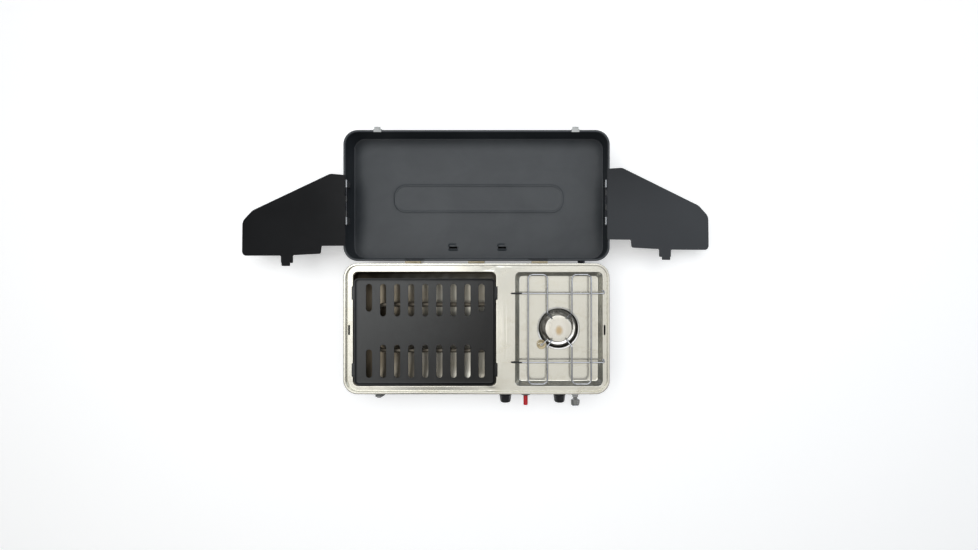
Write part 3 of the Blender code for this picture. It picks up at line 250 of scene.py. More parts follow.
def barFinish():
    # the grate's cross bars: bright plating, with a black heat-proof sleeve baked on their left ends
    finish = Finish("grateBar")
    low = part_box("grate_bar_front")[0]
    away = finish.mapped((1, 0, 0), (low.x, 0, 0))
    along = finish.node("ShaderNodeVectorMath", {"operation": "LENGTH"}, {0: away}, "Value")
    dull = finish.between(finish.noise(0.012, 3, 0.6), 0.5, 0.8)
    bright = finish.between(along + dull * 0.0006, 0.0255, 0.0262)
    plating = finish.mix(dull, (0.50, 0.51, 0.53), (0.40, 0.41, 0.43))
    finish.set("Base Color", finish.mix(bright, (0.012, 0.012, 0.013), plating))
    finish.set("Metallic", bright)
    finish.set("Roughness", 0.42 - bright * 0.3 + dull * 0.12)
    finish.bump(finish.noise(0.005, 2) + finish.noise(0.0008, 1) * 0.15, 0.00012)
    return finish.material


def capFinish(centre):
    # brushed steel cap with a straw tint in the middle, where it runs hottest
    finish = Finish("capSteel", Metallic=1.0)
    brush = finish.noise(1.0, 3, 0.65, (1 / 0.0007, 1 / 0.05, 1 / 0.05))
    away = finish.mapped((1 / 0.0095, 1 / 0.0125, 0), (centre.x + 1 * mm, centre.y - 4 * mm, 0))
    reach = finish.node("ShaderNodeVectorMath", {"operation": "LENGTH"}, {0: away}, "Value")
    tint = 1 - finish.between(reach + (brush - 0.5) * 0.5, 0.35, 1.25)
    halo = finish.between(reach, 1.2, 2.2) * (1 - finish.between(reach, 2.4, 3.2))
    colour = finish.mix(tint * 0.85, (0.72, 0.705, 0.65), (0.52, 0.38, 0.20))
    colour = finish.mix(halo * 0.25, colour, (0.60, 0.56, 0.47))
    finish.set("Base Color", colour)
    finish.set("Roughness", 0.24 + (brush - 0.5) * 0.22)
    finish.bump(brush, 0.00004)
    return finish.material


def castFinish():
    # sand-cast aluminium, dull and slightly sooted
    finish = Finish("castAluminium", Metallic=1.0)
    pits = finish.noise(0.0014, 4, 0.7)
    soot = finish.between(finish.noise(0.01, 3, 0.6), 0.42, 0.7)
    finish.set("Base Color", finish.mix(soot, (0.56, 0.55, 0.53), (0.24, 0.22, 0.20)))
    finish.set("Roughness", 0.42 + soot * 0.2)
    finish.bump(pits, 0.0003)
    return finish.material


def plainMetal(name, colour, aged, roughness, grain=0.0016):
    # drawn or turned metal with tarnish in soft patches
    finish = Finish(name, Metallic=1.0)
    patch = finish.between(finish.noise(0.015, 4, 0.6, warp=0.5), 0.4, 0.72)
    scratch = finish.noise(grain, 3, 0.6)
    finish.set("Base Color", finish.mix(patch, colour, aged))
    finish.set("Roughness", roughness + patch * 0.16 + (scratch - 0.5) * 0.1)
    finish.bump(scratch, 0.00006)
    return finish.material


def plasticFinish(name, colour, worn, roughness, coat=0.0):
    # moulded plastic: fine spark-erosion grain and slight handling shine
    finish = Finish(name, Metallic=0.0)
    finish.set("Coat Weight", coat)
    finish.set("Coat Roughness", 0.2)
    grain = finish.noise(0.0005, 2, 0.6)
    rub = finish.between(finish.noise(0.009, 3, 0.6), 0.45, 0.75)
    finish.set("Base Color", finish.mix(rub, colour, worn))
    finish.set("Roughness", roughness + (grain - 0.5) * 0.16 - rub * 0.06)
    finish.bump(grain, 0.00005)
    return finish.material


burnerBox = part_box("burner_cap")
burnerCentre = (burnerBox[0] + burnerBox[1]) / 2
finishes = {
    "stainless": stainlessFinish(),
    "tray": trayFinish(),
    "casePaint": paintFinish("casePaint", (0.009, 0.0098, 0.011), (0.014, 0.015, 0.017), 0.46),
    "lidPaint": paintFinish("lidPaint", (0.022, 0.027, 0.032), (0.048, 0.054, 0.059), 0.44),
    "wingPaint": paintFinish("wingPaint", (0.0032, 0.0033, 0.0037), (0.0048, 0.005, 0.0058), 0.3),
    "griddle": griddleFinish(),
    "chrome": chromeFinish(),
    "zincSteel": chromeFinish("zincSteel", (0.235, 0.24, 0.235), 0.28),
    "sleeveSteel": chromeFinish("sleeveSteel", (0.24, 0.245, 0.25), 0.26),
    "darkSteel": chromeFinish("darkSteel", (0.045, 0.045, 0.05), 0.34),
    "dish": chromeFinish("dish", (0.66, 0.655, 0.63), 0.14),
    "grateBar": barFinish(),
    "cap": capFinish(burnerCentre),
    "cast": castFinish(),
    "aluminiumTube": plainMetal("aluminiumTube", (0.60, 0.60, 0.60), (0.42, 0.42, 0.42), 0.34),
    "burnerTube": plainMetal("burnerTube", (0.20, 0.18, 0.145), (0.11, 0.092, 0.07), 0.6),
    "brass": plainMetal("brass", (0.62, 0.45, 0.19), (0.40, 0.27, 0.11), 0.26),
    "yellowZinc": plainMetal("yellowZinc", (0.56, 0.49, 0.35), (0.40, 0.33, 0.20), 0.28),
    "blackPlastic": plasticFinish("blackPlastic", (0.011, 0.011, 0.012), (0.020, 0.020, 0.021), 0.36),
    "redPlastic": plasticFinish("redPlastic", (0.52, 0.004, 0.010), (0.58, 0.012, 0.018), 0.3, 0.3),
    # painted shade: a near-black matte finish for the sheets laid in the rests' openings
    "paintedHoleShade": paintFinish(
        "paintedHoleShade", (0.001, 0.001, 0.001), (0.002, 0.002, 0.002), 0.9, specular=0.05
    ),
    "rubber": plasticFinish("rubber", (0.018, 0.018, 0.018), (0.034, 0.033, 0.032), 0.72),
    "ceramic": plasticFinish("ceramic", (0.74, 0.73, 0.69), (0.62, 0.59, 0.52), 0.24, 0.6),
}
print("finishes made:", len(finishes))


# surfaces

def gridFaces(rows, columns, joined):
    # the four-sided faces of rows x columns points, going round where the columns are joined
    row, column = np.meshgrid(
        np.arange(rows - 1), np.arange(columns if joined else columns - 1), indexing="ij"
    )
    after = (column + 1) % columns
    corners = [row * columns + column, row * columns + after]
    corners += [(row + 1) * columns + after, (row + 1) * columns + column]
    return np.stack(corners, -1).reshape(-1, 4)


def sheetOf(points, joined=True, caps=()):
    # points is rows x columns x 3; caps names the end rows, 0 or -1, that are filled flat
    rows, columns = points.shape[:2]
    faces = gridFaces(rows, columns, joined).tolist()
    faces += [(np.arange(columns) + (end % rows) * columns).tolist() for end in caps]
    return points.reshape(-1, 3), faces


def makePiece(name, sheets, body, nodes, finish, sharp=38, facing=None):
    # welds the sheets into one mesh; an open one is turned so that it faces the way given
    points, faces, first = [], [], 0
    for sheetPoints, sheetFaces in sheets:
        points.append(sheetPoints)
        faces += [[first + corner for corner in face] for face in sheetFaces]
        first += len(sheetPoints)
    mesh = bpy.data.meshes.new(name)
    mesh.from_pydata(np.concatenate(points).tolist(), [], faces)
    shape = bmesh.new()
    shape.from_mesh(mesh)
    bmesh.ops.remove_doubles(shape, verts=shape.verts, dist=2e-6)
    bmesh.ops.recalc_face_normals(shape, faces=shape.faces)
    if facing is not None:
        lean = sum((face.normal * face.calc_area() for face in shape.faces), Vector())
        if lean.dot(Vector(facing)) < 0:
            bmesh.ops.reverse_faces(shape, faces=shape.faces)
    shape.to_mesh(mesh)
    shape.free()
    return fitPiece(name, mesh, body, nodes, finish, sharp)


def fitPiece(name, mesh, body, nodes, finish, sharp):
    piece = bpy.data.objects.new(name, mesh)
    bpy.context.scene.collection.objects.link(piece)
    mesh.materials.clear()
    mesh.materials.append(finishes[finish])
    mesh.shade_smooth()
    mesh.set_sharp_from_angle(angle=math.radians(sharp))
    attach(piece, body)
    if nodes:
        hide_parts(*nodes)
    return piece


def thicken(piece, thickness, offset=-1):
    wall = piece.modifiers.new("wall", "SOLIDIFY")
    wall.thickness = thickness
    wall.offset = offset
    wall.use_even_offset = True
    wall.use_quality_normals = True


def soften(piece, width, segments=2, angle=32):
    edge = piece.modifiers.new("edge", "BEVEL")
    edge.width = width
    edge.segments = segments
    edge.limit_method = "ANGLE"
    edge.angle_limit = math.radians(angle)
    edge.harden_normals = True


def caseLoop(outline, corner, square=(0, 0, 0, 0), straights=(24, 16), bend=10):
    # a rounded rectangle as one ring of points, anticlockwise from the middle of its back right corner.
    # each corner runs through 90 degrees at its own radius, or along a square corner of that reach
    left, right, front, back = outline
    corner = np.broadcast_to(corner, 4)
    signs = ((1, 1), (-1, 1), (-1, -1), (1, -1))
    ring, middle = [], bend // 2
    for k, (signX, signY) in enumerate(signs):
        angle = math.radians(90) * (k + np.linspace(0, 1, bend + 1))
        way = np.stack([np.cos(angle), np.sin(angle)], 1)
        longest = np.abs(way).max(1, keepdims=True)
        way = way * (1 - square[k]) + way / longest * square[k]
        centre = np.array([
            (right - corner[k]) if signX > 0 else (left + corner[k]),
            (back - corner[k]) if signY > 0 else (front + corner[k]),
        ])
        ring.append(centre + way * corner[k])
    whole = []
    for k in range(4):
        start, end = ring[k][-1], ring[(k + 1) % 4][0]
        share = np.linspace(0, 1, straights[k % 2] + 1)[1:-1, None]
        whole.append(ring[k][middle:] if k == 0 else ring[k])
        whole.append(start + (end - start) * share)
    whole.append(ring[0][:middle])
    return np.concatenate(whole)


def seamSpan(straights=(24, 16), bend=10):
    # how many points of a caseLoop lie on its back, left and front, seam to seam
    return 2 * straights[0] + straights[1] + 3 * bend + 1


def inside(outline, distance, seam=False):
    # the outline drawn in by a distance on its free sides
    left, right, front, back = outline
    return (left + distance, right - (0 if seam else distance), front + distance, back - distance)


def arc(centre, radius, start, end, steps):
    # points (across, height) of a circular arc between two angles in degrees
    angle = np.radians(np.linspace(start, end, steps + 1))
    return np.stack([centre[0] + radius * np.cos(angle), centre[1] + radius * np.sin(angle)], 1)


def level(ring, height):
    # a flat ring at one height
    return np.column_stack([ring, np.broadcast_to(height, len(ring))])


def lathe(profile, centre, axis="Z", steps=64, shape=None):
    # the (radius, height) profile turned round an axis through the centre; shape may change the
    # radius with angle and height
    profile = np.asarray(profile, float)
    angle = np.linspace(0, fullTurn, steps, endpoint=False)
    radius = np.repeat(profile[:, :1], steps, 1)
    if shape is not None:
        radius = shape(radius, angle[None, :], profile[:, 1:])
    height = np.repeat(profile[:, 1:], steps, 1)
    side, other = radius * np.cos(angle), radius * np.sin(angle)
    turned = {"Z": (side, other, height), "-Y": (side, -height, other), "Y": (side, height, other)}
    return sheetOf(np.stack(turned[axis], -1) + np.array(centre))


def roundedPath(points, radii, steps=8, closed=False):
    # the corner points with each corner drawn as an arc tangent to both sides
    points = [np.array(point, float) for point in points]
    path = []
    for k, (corner, radius) in enumerate(zip(points, radii)):
        if (not closed and k in (0, len(points) - 1)) or radius == 0:
            path.append(corner[None])
            continue
        back = points[k - 1] - corner
        onward = points[(k + 1) % len(points)] - corner
        back, onward = back / np.linalg.norm(back), onward / np.linalg.norm(onward)
        half = math.acos(np.clip(back @ onward, -1, 1)) / 2
        middle = (back + onward) / np.linalg.norm(back + onward)
        centre = corner + middle * radius / math.sin(half)
        sweep = math.pi / 2 - half
        across = onward - middle * (onward @ middle)
        across /= np.linalg.norm(across)
        angle = np.linspace(-sweep, sweep, steps + 1)[:, None]
        path.append(centre + radius * (across * np.sin(angle) - middle * np.cos(angle)))
    return np.concatenate(path)


def rodAlong(path, radius, sides=14, closed=False, up=(0, 0, 1)):
    # a round wire: a circle carried along the path, square to it, with domed ends where it is open
    if closed:
        along = np.roll(path, -1, 0) - np.roll(path, 1, 0)
    else:
        along = np.gradient(path, axis=0)
    along /= np.linalg.norm(along, axis=1, keepdims=True)
    across = np.cross(along, up)
    across /= np.linalg.norm(across, axis=1, keepdims=True)
    over = np.cross(across, along)
    widths = np.full(len(path), radius)
    if not closed:
        dome = np.radians([0, 25, 50, 70, 90])
        out = radius * np.sin(dome)[:, None]
        path = np.concatenate([path[:1] - along[:1] * out[::-1], path, path[-1:] + along[-1:] * out])
        widths = np.concatenate([radius * np.cos(dome)[::-1], widths, radius * np.cos(dome)])
        stretch = lambda rows: np.concatenate([rows[:1].repeat(5, 0), rows, rows[-1:].repeat(5, 0)])
        across, over = stretch(across), stretch(over)
    angle = np.linspace(0, fullTurn, sides, endpoint=False)[None, :, None]
    ring = across[:, None] * np.cos(angle) + over[:, None] * np.sin(angle)
    points = path[:, None] + ring * widths[:, None, None]
    if closed:
        points = np.concatenate([points, points[:1]])
    return sheetOf(points)


def smoothStep(value, low, high):
    share = np.clip((value - low) / (high - low), 0, 1)
    return share * share * (3 - 2 * share)


# case and deck

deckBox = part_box("deck_plate")
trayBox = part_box("firebox_tray")
case = (deckBox[0].x, deckBox[1].x, deckBox[0].y, deckBox[1].y)
rimTop = deckBox[1].z
deck = {
    "corner": 33 * mm,
    "recess": 6 * mm,
    "beadWidth": 5.5 * mm,
    "beadRound": (1.3 * mm, 0.7 * mm),
    "beadDrop": 4 * mm,
    "foot": 0.8 * mm,
    "trayFlange": 4 * mm,
    "openingCorner": 11 * mm,
    "lip": 1.2 * mm,
    "seam": 66.4 * mm,
    "seamReach": 20 * mm,
    "thickness": 0.9 * mm,
    "wellDepth": 12 * mm,
    "wellSlope": 8 * mm,
    "well": (88.9 * mm, 289.5 * mm, -132.7 * mm, 128.9 * mm),
    "burnerHole": 47.4 * mm,
    "slot": (23.5 * mm, 4.2 * mm),
    "slotReach": 153.3 * mm,
    "hingePin": 1.0 * mm,
    "wingPin": 2.5 * mm,
    "dents": (
        (31, -140, 13, 7, -0.55),
        (30, 137, 13, 7, -0.45),
        (60, 139, 22, 6, 0.3),
        (64, -20, 10, 90, 0.25),
    ),
}
deckTop = rimTop - deck["recess"]
wellFloor = deckTop - deck["wellDepth"]
griddleOpening = (
    trayBox[0].x + deck["trayFlange"],
    trayBox[1].x - deck["trayFlange"],
    trayBox[0].y + deck["trayFlange"],
    trayBox[1].y - deck["trayFlange"],
)
deckSpans = (64, 48)
deckBend = 16


def beadProfile(width, rounds, top, drop, foot, floor):
    # (inset, height) over the rim: up the outside, across its flat top, down a short step to the deck
    outer, inner = rounds
    profile = [np.array([[0, top - drop]]), arc((outer, top - outer), outer, 180, 90, 6)]
    profile += [arc((width - inner, top - inner), inner, 90, 0, 5)]
    profile += [arc((width + foot, floor + foot), foot, 180, 270, 5)]
    return np.concatenate(profile)


def deckDents(x, y):
    # shallow draws where the sheet was pulled at the corners of the big opening: each is its depth times
    # e to the minus squared distance from its centre, measured in its own spans; all five are in mm
    height = np.zeros_like(x)
    for centreX, centreY, spanX, spanY, depth in deck["dents"]:
        away = ((x / mm - centreX) / spanX) ** 2 + ((y / mm - centreY) / spanY) ** 2
        height += depth * mm * np.exp(-away)
    return height


def deckHalf(side, opening, openingRings):
    # one end of the deck, drawn as the left one and mirrored for the right: rings spread from the
    # opening to the rim, and the rim's bead runs round the three free sides
    left, right, front, back = case
    seam = deck["seam"] * -side
    outline = (left, seam, front, back)
    square = (1, 0, 0, 1)
    reach = deck["seamReach"]

    def ringAt(inset):
        corner = (reach, deck["corner"] - inset, deck["corner"] - inset, reach)
        return caseLoop(inside(outline, inset, seam=True), corner, square, deckSpans, deckBend)

    bead = beadProfile(
        deck["beadWidth"], deck["beadRound"], rimTop, deck["beadDrop"], deck["foot"], deckTop
    )
    span = seamSpan(deckSpans, deckBend)
    rim = np.stack([level(ringAt(inset)[:span], height) for inset, height in bead])
    inner = caseLoop(
        inside(opening, -deck["lip"]), deck["openingCorner"] + deck["lip"], bend=deckBend, straights=deckSpans
    )
    outer = ringAt(bead[-1, 0])
    flat = []
    for share in np.linspace(0, 1, 15):
        ring = inner + (outer - inner) * share
        fade = 1 - (2 * share - 1) ** 8
        flat.append(level(ring, deckTop + deckDents(ring[:, 0] * -side, ring[:, 1]) * fade))
    sheets = [sheetOf(rim, joined=False), sheetOf(np.stack(flat))]
    sheets += [sheetOf(np.stack(openingRings))]
    if side > 0:
        sheets = [(points * np.array([-1, 1, 1]), faces) for points, faces in sheets]
    return sheets


def griddleLip():
    # the edge of the big opening, rolled down through a quarter turn
    rings = []
    radius = deck["lip"]
    for across, height in arc((-radius, deckTop - radius), radius, 90, 0, 4):
        ring = caseLoop(
            inside(griddleOpening, across), deck["openingCorner"] - across, bend=deckBend, straights=deckSpans
        )
        rings.append(level(ring, height))
    return rings


def wellRings(opening, centre):
    # the burner well: rolled edge, sloping side, hollow fillet, and a floor that closes in to a circle
    radius, slope = deck["lip"], deck["wellSlope"]
    depth = deck["wellDepth"]
    lean = math.degrees(math.atan2(depth, slope))
    top = arc((-radius, deckTop - radius), radius, 90, 90 - lean, 4)
    fillet = 3.4 * mm
    foot = arc((slope + fillet * 0.62, wellFloor + fillet), fillet, 270 - lean, 270, 5)
    side = np.linspace(top[-1], foot[0], 5)[1:-1]
    rings = []
    for inset, height in np.concatenate([top, side, foot]):
        corner = deck["openingCorner"] - inset * 0.45
        ring = caseLoop(inside(opening, inset), corner, bend=deckBend, straights=deckSpans)
        rings.append(level(ring, height))
    edge = rings[-1][:, :2]
    way = edge - centre
    circle = centre + way / np.linalg.norm(way, axis=1, keepdims=True) * deck["burnerHole"]
    for share in np.linspace(0, 1, 12)[1:]:
        rings.append(level(edge + (circle - edge) * share, wellFloor))
    return rings


def makeDeck():
    wellMirrored = (-deck["well"][1], -deck["well"][0], deck["well"][2], deck["well"][3])
    burnerMirrored = np.array([-burnerCentre.x, burnerCentre.y])
    sheets = deckHalf(-1, griddleOpening, griddleLip())
    sheets += deckHalf(1, wellMirrored, wellRings(wellMirrored, burnerMirrored))
    piece = makePiece(
        "deck_panel", sheets, "base", ["deck_plate"], "stainless", facing=(0, 0, 1)
    )
    thicken(piece, deck["thickness"])
    # a slot lies where the panel's nub comes when the lid stands upright and the panel is swung forward
    slots = []
    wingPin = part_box("wing_pin_left")
    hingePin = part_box("hinge_pin_1")[0]
    wingRise = wingPin[0].z + deck["wingPin"] - hingePin.z - deck["hingePin"]
    slotY = hingePin.y + deck["hingePin"] - wingRise - deck["slotReach"]
    for side in (-1, 1):
        x = side * abs((wingPin[0].x + wingPin[1].x) / 2)
        half = (deck["slot"][1] / 2, deck["slot"][0] / 2)
        outline = (x - half[0], x + half[0], slotY - half[1], slotY + half[1])
        loop = caseLoop(outline, half[0] * 0.98, bend=8, straights=(1, 4))
        rings = [level(loop, z) for z in (deckTop - 5 * mm, deckTop + 5 * mm)]
        slots.append(sheetOf(np.stack(rings), caps=(0, -1)))
    cutOut(piece, "deck_slots", slots)
    return piece


def cutOut(piece, name, sheets):
    # takes the closed shapes out of the piece and leaves the result in its mesh
    points, faces, first = [], [], 0
    for sheetPoints, sheetFaces in sheets:
        points.append(sheetPoints)
        faces += [[first + corner for corner in face] for face in sheetFaces]
        first += len(sheetPoints)
    mesh = bpy.data.meshes.new(name)
    mesh.from_pydata(np.concatenate(points).tolist(), [], faces)
    shape = bmesh.new()
    shape.from_mesh(mesh)
    bmesh.ops.recalc_face_normals(shape, faces=shape.faces)
    shape.to_mesh(mesh)
    shape.free()
    cutter = bpy.data.objects.new(name, mesh)
    bpy.context.scene.collection.objects.link(cutter)
    hole = piece.modifiers.new("holes", "BOOLEAN")
    hole.operation = "DIFFERENCE"
    hole.solver = "EXACT"
    hole.object = cutter
    settle(piece)
    bpy.data.objects.remove(cutter)


def settle(piece, sharp=38):
    # puts the result of the piece's modifiers into its mesh
    bpy.context.view_layer.update()
    graph = bpy.context.evaluated_depsgraph_get()
    mesh = bpy.data.meshes.new_from_object(piece.evaluated_get(graph), depsgraph=graph)
    piece.modifiers.clear()
    piece.data = mesh
    mesh.shade_smooth()
    mesh.set_sharp_from_angle(angle=math.radians(sharp))


def makeTub():
    # the case's wall and floor: rings down the wall, round a fillet and in to a flat bottom
    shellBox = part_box("base_shell")
    fillet = 8 * mm
    top, floor = shellBox[1].z, shellBox[0].z
    profile = np.concatenate([
        [[0, top], [0, top - 3 * mm]],
        np.linspace([0, top - 8 * mm], [0, floor + fillet + 2 * mm], 6),
        arc((fillet, floor + fillet), fillet, 180, 270, 8),
        [[fillet + 4 * mm, floor]],
    ])
    rings = [
        level(caseLoop(inside(case, inset), deck["corner"] - inset, bend=20), height)
        for inset, height in profile
    ]
    piece = makePiece(
        "case_tub", [sheetOf(np.stack(rings), caps=(-1,))], "base", ["base_shell"], "casePaint"
    )
    return piece


deckPanel = makeDeck()
caseTub = makeTub()
print("case and deck made")

bodyOfNode = {
    node: body for body, nodes in frame["record"]["behaviour"]["bodies"].items() for node in nodes
}
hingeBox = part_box("hinge_pin_1")
hingeY = (hingeBox[0].y + hingeBox[1].y) / 2
hingeZ = (hingeBox[0].z + hingeBox[1].z) / 2
lid = {
    "outline": (case[0], case[1], 2 * hingeY - case[3], 2 * hingeY - case[2]),
    "corner": 33 * mm,
    "depth": 45 * mm,
    "beadWidth": 5.5 * mm,
    "beadRound": 2.2 * mm,
    "beadDrop": 4 * mm,
    "fillet": 3.2 * mm,
    "draft": 4.2 * mm,
    "thickness": 1.0 * mm,
    "embossSize": (205 * mm, 35 * mm),
    "embossCorner": 30 * mm,
    "embossY": 305 * mm,
    "embossHeight": 1.1 * mm,
    "embossWidth": 7 * mm,
    "sag": 0.35 * mm,
}
lidFloor = rimTop - lid["depth"]


def makeLid():
    # one sheet from the rim's inner edge over the bead, down the wall, round the fillet and across the
    # floor, where a rounded oblong bead is pressed in
    bead, width, drop = lid["beadRound"], lid["beadWidth"], lid["beadDrop"]
    fillet, draft, outline = lid["fillet"], lid["draft"], lid["outline"]
    profile = np.concatenate([
        [[width, rimTop - drop]],
        arc((width - bead, rimTop - bead), bead, 0, 90, 6),
        arc((bead, rimTop - bead), bead, 90, 180, 6),
        np.linspace([0, rimTop - 9 * mm], [draft - 0.2 * mm, lidFloor + fillet + 1.5 * mm], 5),
        arc((draft + fillet, lidFloor + fillet), fillet, 186, 270, 7),
    ])
    spans = (72, 40)
    rings = []
    for inset, height in profile:
        corner = max(lid["corner"] - inset, 6 * mm)
        rings.append(level(caseLoop(inside(outline, inset), corner, straights=spans, bend=18), height))
    halfX, halfY = lid["embossSize"]
    stadium = (-halfX, halfX, lid["embossY"] - halfY, lid["embossY"] + halfY)
    edge = rings[-1][:, :2]
    oblong = caseLoop(stadium, lid["embossCorner"], straights=spans, bend=18)
    for share in np.linspace(0, 1, 14)[1:]:
        rings.append(level(edge + (oblong - edge) * share, lidFloor + lid["sag"] * math.sin(math.pi * share)))
    across = lid["embossWidth"]
    for share in np.linspace(0, 1, 9)[1:]:
        corner = lid["embossCorner"] - across * share
        ring = caseLoop(inside(stadium, across * share), corner, straights=spans, bend=18)
        rings.append(level(ring, lidFloor + lid["embossHeight"] * math.sin(math.pi * share) ** 2))
    inner = rings[-1][:, :2]
    spine = np.stack([
        np.clip(inner[:, 0], -halfX + halfY, halfX - halfY), np.full(len(inner), lid["embossY"])
    ], 1)
    for share in (0.3, 0.6, 0.85, 0.995):
        rings.append(level(inner + (spine - inner) * share, lidFloor))
    piece = makePiece(
        "lid_tray", [sheetOf(np.stack(rings), caps=(-1,))], "lid", ["lid_shell"], "lidPaint",
        facing=(0, 0, -1),
    )
    thicken(piece, lid["thickness"])
    reliefs = []
    near = lid["outline"][2]
    for node in ("wing_pin_left", "wing_pin_right"):
        low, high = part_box(node)
        axis = (low.x + high.x) / 2
        middle = math.copysign(abs(axis) - wing["nubCentre"], axis)
        reach = wing["nubRelief"] / 2
        notch = (middle - reach, middle + reach, near + 3 * mm, near + width + 1 * mm)
        loop = caseLoop(notch, 0.4 * mm, straights=(2, 2), bend=4)
        levels = [level(loop, z) for z in (rimTop - 8 * mm, rimTop + 4 * mm)]
        reliefs.append(sheetOf(np.stack(levels), caps=(0, -1)))
    cutOut(piece, "lid_reliefs", reliefs)
    return piece


rest = {
    "spans": ((-75 * mm, -48 * mm), (43 * mm, 69 * mm)),
    "front": 178 * mm,
    "length": 21 * mm,
    "height": 3.4 * mm,
    "ramp": 6.5 * mm,
    "thickness": 1.1 * mm,
    "slotFront": (184.8 * mm, 189.8 * mm),
    "slotSide": (6.8 * mm, 196.5 * mm),
}


def makeRests():
    # low domes pressed up from the lid's floor for the folded panels to lie on, each with an angled
    # opening lanced through it: one arm along its front, the other along its right side
    for number, (start, end) in enumerate(rest["spans"], 1):
        across = np.linspace(0, 1, 22)[:, None]
        along = np.linspace(0, 1, 18)[None, :]
        x = start + (end - start) * across + 0 * along
        y = rest["front"] + rest["length"] * along + 0 * across
        inX = (end - start) * np.minimum(across, 1 - across)
        inY = rest["length"] * np.minimum(along, 1 - along)
        riseX = smoothStep(inX, 0, rest["ramp"])
        riseY = smoothStep(inY, 0, rest["ramp"])
        crown = 0.3 * mm * np.sin(math.pi * across)
        z = lidFloor + 0.9 * mm + (rest["height"] - crown) * riseX * riseY
        piece = makePiece(
            f"wing_rest_{number}", [sheetOf(np.stack([x, y, z], -1), joined=False)], "lid", [],
            "lidPaint", facing=(0, 0, 1),
        )
        thicken(piece, rest["thickness"])
        (front, back), (arm, armBack) = rest["slotFront"], rest["slotSide"]
        right = end - 0.8 * mm
        corners = [
            (start + 1.2 * mm, front, 0), (right, front, 0), (right, armBack, 0),
            (right - arm, armBack, 0), (right - arm, back, 0), (start + 1.2 * mm, back, 0),
        ]
        angled = roundedPath(corners, [0.8 * mm] * 6, 5, closed=True)[:, :2]
        levels = np.stack([level(angled, lidFloor + 1.3 * mm), level(angled, lidFloor + 20 * mm)])
        cutOut(piece, "rest_opening", [sheetOf(levels, caps=(0, -1))])
        # painted shade: a near-black flat sheet laid in each opening stands for the shadowed hole under the
        # raised dome
        paintedShadePatch = np.stack([level(angled, lidFloor + 1.15 * mm), level(angled, lidFloor + 1.25 * mm)])
        makePiece(
            f"wing_rest_shade_{number}", [sheetOf(paintedShadePatch, caps=(0, -1))], "lid", [],
            "paintedHoleShade",
        )


wing = {
    "reach": 269 * mm,
    "farEdge": 202 * mm,
    "nearEdge": 16 * mm,
    "notchEdge": 37 * mm,
    "notchLength": 62 * mm,
    "tab": (134.8 * mm, 166 * mm),
    "tabEdge": -2.2 * mm,
    "nubCentre": 153.3 * mm,
    "nubWidth": 22 * mm,
    "nubEdge": -9.2 * mm,
    "nubRelief": 44 * mm,
    "root": 3.4 * mm,
    "eyes": (102.5 * mm, 135.5 * mm),
    "eyeLength": 14 * mm,
    "eyeRadius": 2.9 * mm,
    "eyeBore": 1.8 * mm,
    "thickness": 0.9 * mm,
    "droop": {"left": 8, "right": 12},
    "lift": {"left": 0, "right": 14.3 * mm},
}


def wingOutline():
    # the panel's edge as (distance from its own hinge, distance from the lid's hinge), with its corners
    # rounded and two short leaves reaching into the rolled eyes
    root, leaf = wing["root"], wing["eyeRadius"] - 0.9 * mm
    near, far, reach = wing["nearEdge"], wing["farEdge"], wing["reach"]
    nubFrom = wing["nubCentre"] - wing["nubWidth"] / 2
    nubTo = wing["nubCentre"] + wing["nubWidth"] / 2
    corners = [
        (root, wing["notchEdge"], 0),
        (wing["notchLength"], wing["notchEdge"], 3),
        (wing["notchLength"] + 2 * mm, near + 3 * mm, 5),
        (wing["tab"][0], near, 3),
        (wing["tab"][0], wing["tabEdge"], 3),
        (nubFrom, wing["tabEdge"], 0),
        (nubFrom, wing["nubEdge"], 2),
        (nubTo, wing["nubEdge"], 2),
        (nubTo, wing["tabEdge"], 0),
        (wing["tab"][1], wing["tabEdge"], 3),
        (wing["tab"][1], near - 1 * mm, 3),
        (reach, near - 1 * mm, 11),
        (reach - 1 * mm, 97 * mm, 22),
        (reach - 28 * mm, 122 * mm, 25),
        (40 * mm, far, 22),
        (root, far - 4.4 * mm, 0),
    ]
    for start in reversed(wing["eyes"]):
        end = start + wing["eyeLength"]
        corners += [(root, end, 0), (leaf, end, 0), (leaf, start, 0), (root, start, 0)]
    points = [(s, h, 0) for s, h, _ in corners]
    return roundedPath(points, [radius * mm for _, _, radius in corners], 9, closed=True)[:, :2]


def makeWing(side, sign):
    outline = wingOutline()
    half = wing["thickness"] / 2
    turn = math.radians(wing["droop"][side] if sign > 0 else 180 - wing["droop"][side])
    low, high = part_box(f"wing_pin_{side}")
    axis = ((low.x + high.x) / 2, hingeY + wing["lift"][side], (low.z + high.z) / 2)
    rings = np.stack([level(outline, -half), level(outline, half)])
    sheets = [sheetOf(rings, caps=(0, -1))]
    for start in wing["eyes"]:
        eyeRadius, bore, end = wing["eyeRadius"], wing["eyeBore"], start + wing["eyeLength"]
        profile = [
            (bore, start), (eyeRadius - 0.3 * mm, start), (eyeRadius, start + 0.3 * mm),
            (eyeRadius, end - 0.3 * mm), (eyeRadius - 0.3 * mm, end), (bore, end), (bore, start),
        ]
        sheets.append(lathe(profile, (0, 0, 0), "Y", 28))
    placed = []
    for points, faces in sheets:
        out, along, through = points[:, 0], points[:, 1], points[:, 2]
        x = axis[0] + out * math.cos(turn) + through * math.sin(turn)
        z = axis[2] - out * math.sin(turn) + through * math.cos(turn)
        placed.append((np.stack([x, axis[1] + along, z], 1), faces))
    piece = makePiece(
        f"wind_panel_{side}", placed, f"{side}_wing", [f"wing_{side}"],
        "wingPaint",
    )
    soften(piece, 0.3 * mm, 2, 40)
    return piece


makeLid()
makeRests()
makeWing("left", -1)
makeWing("right", 1)
print("lid and wind panels made")

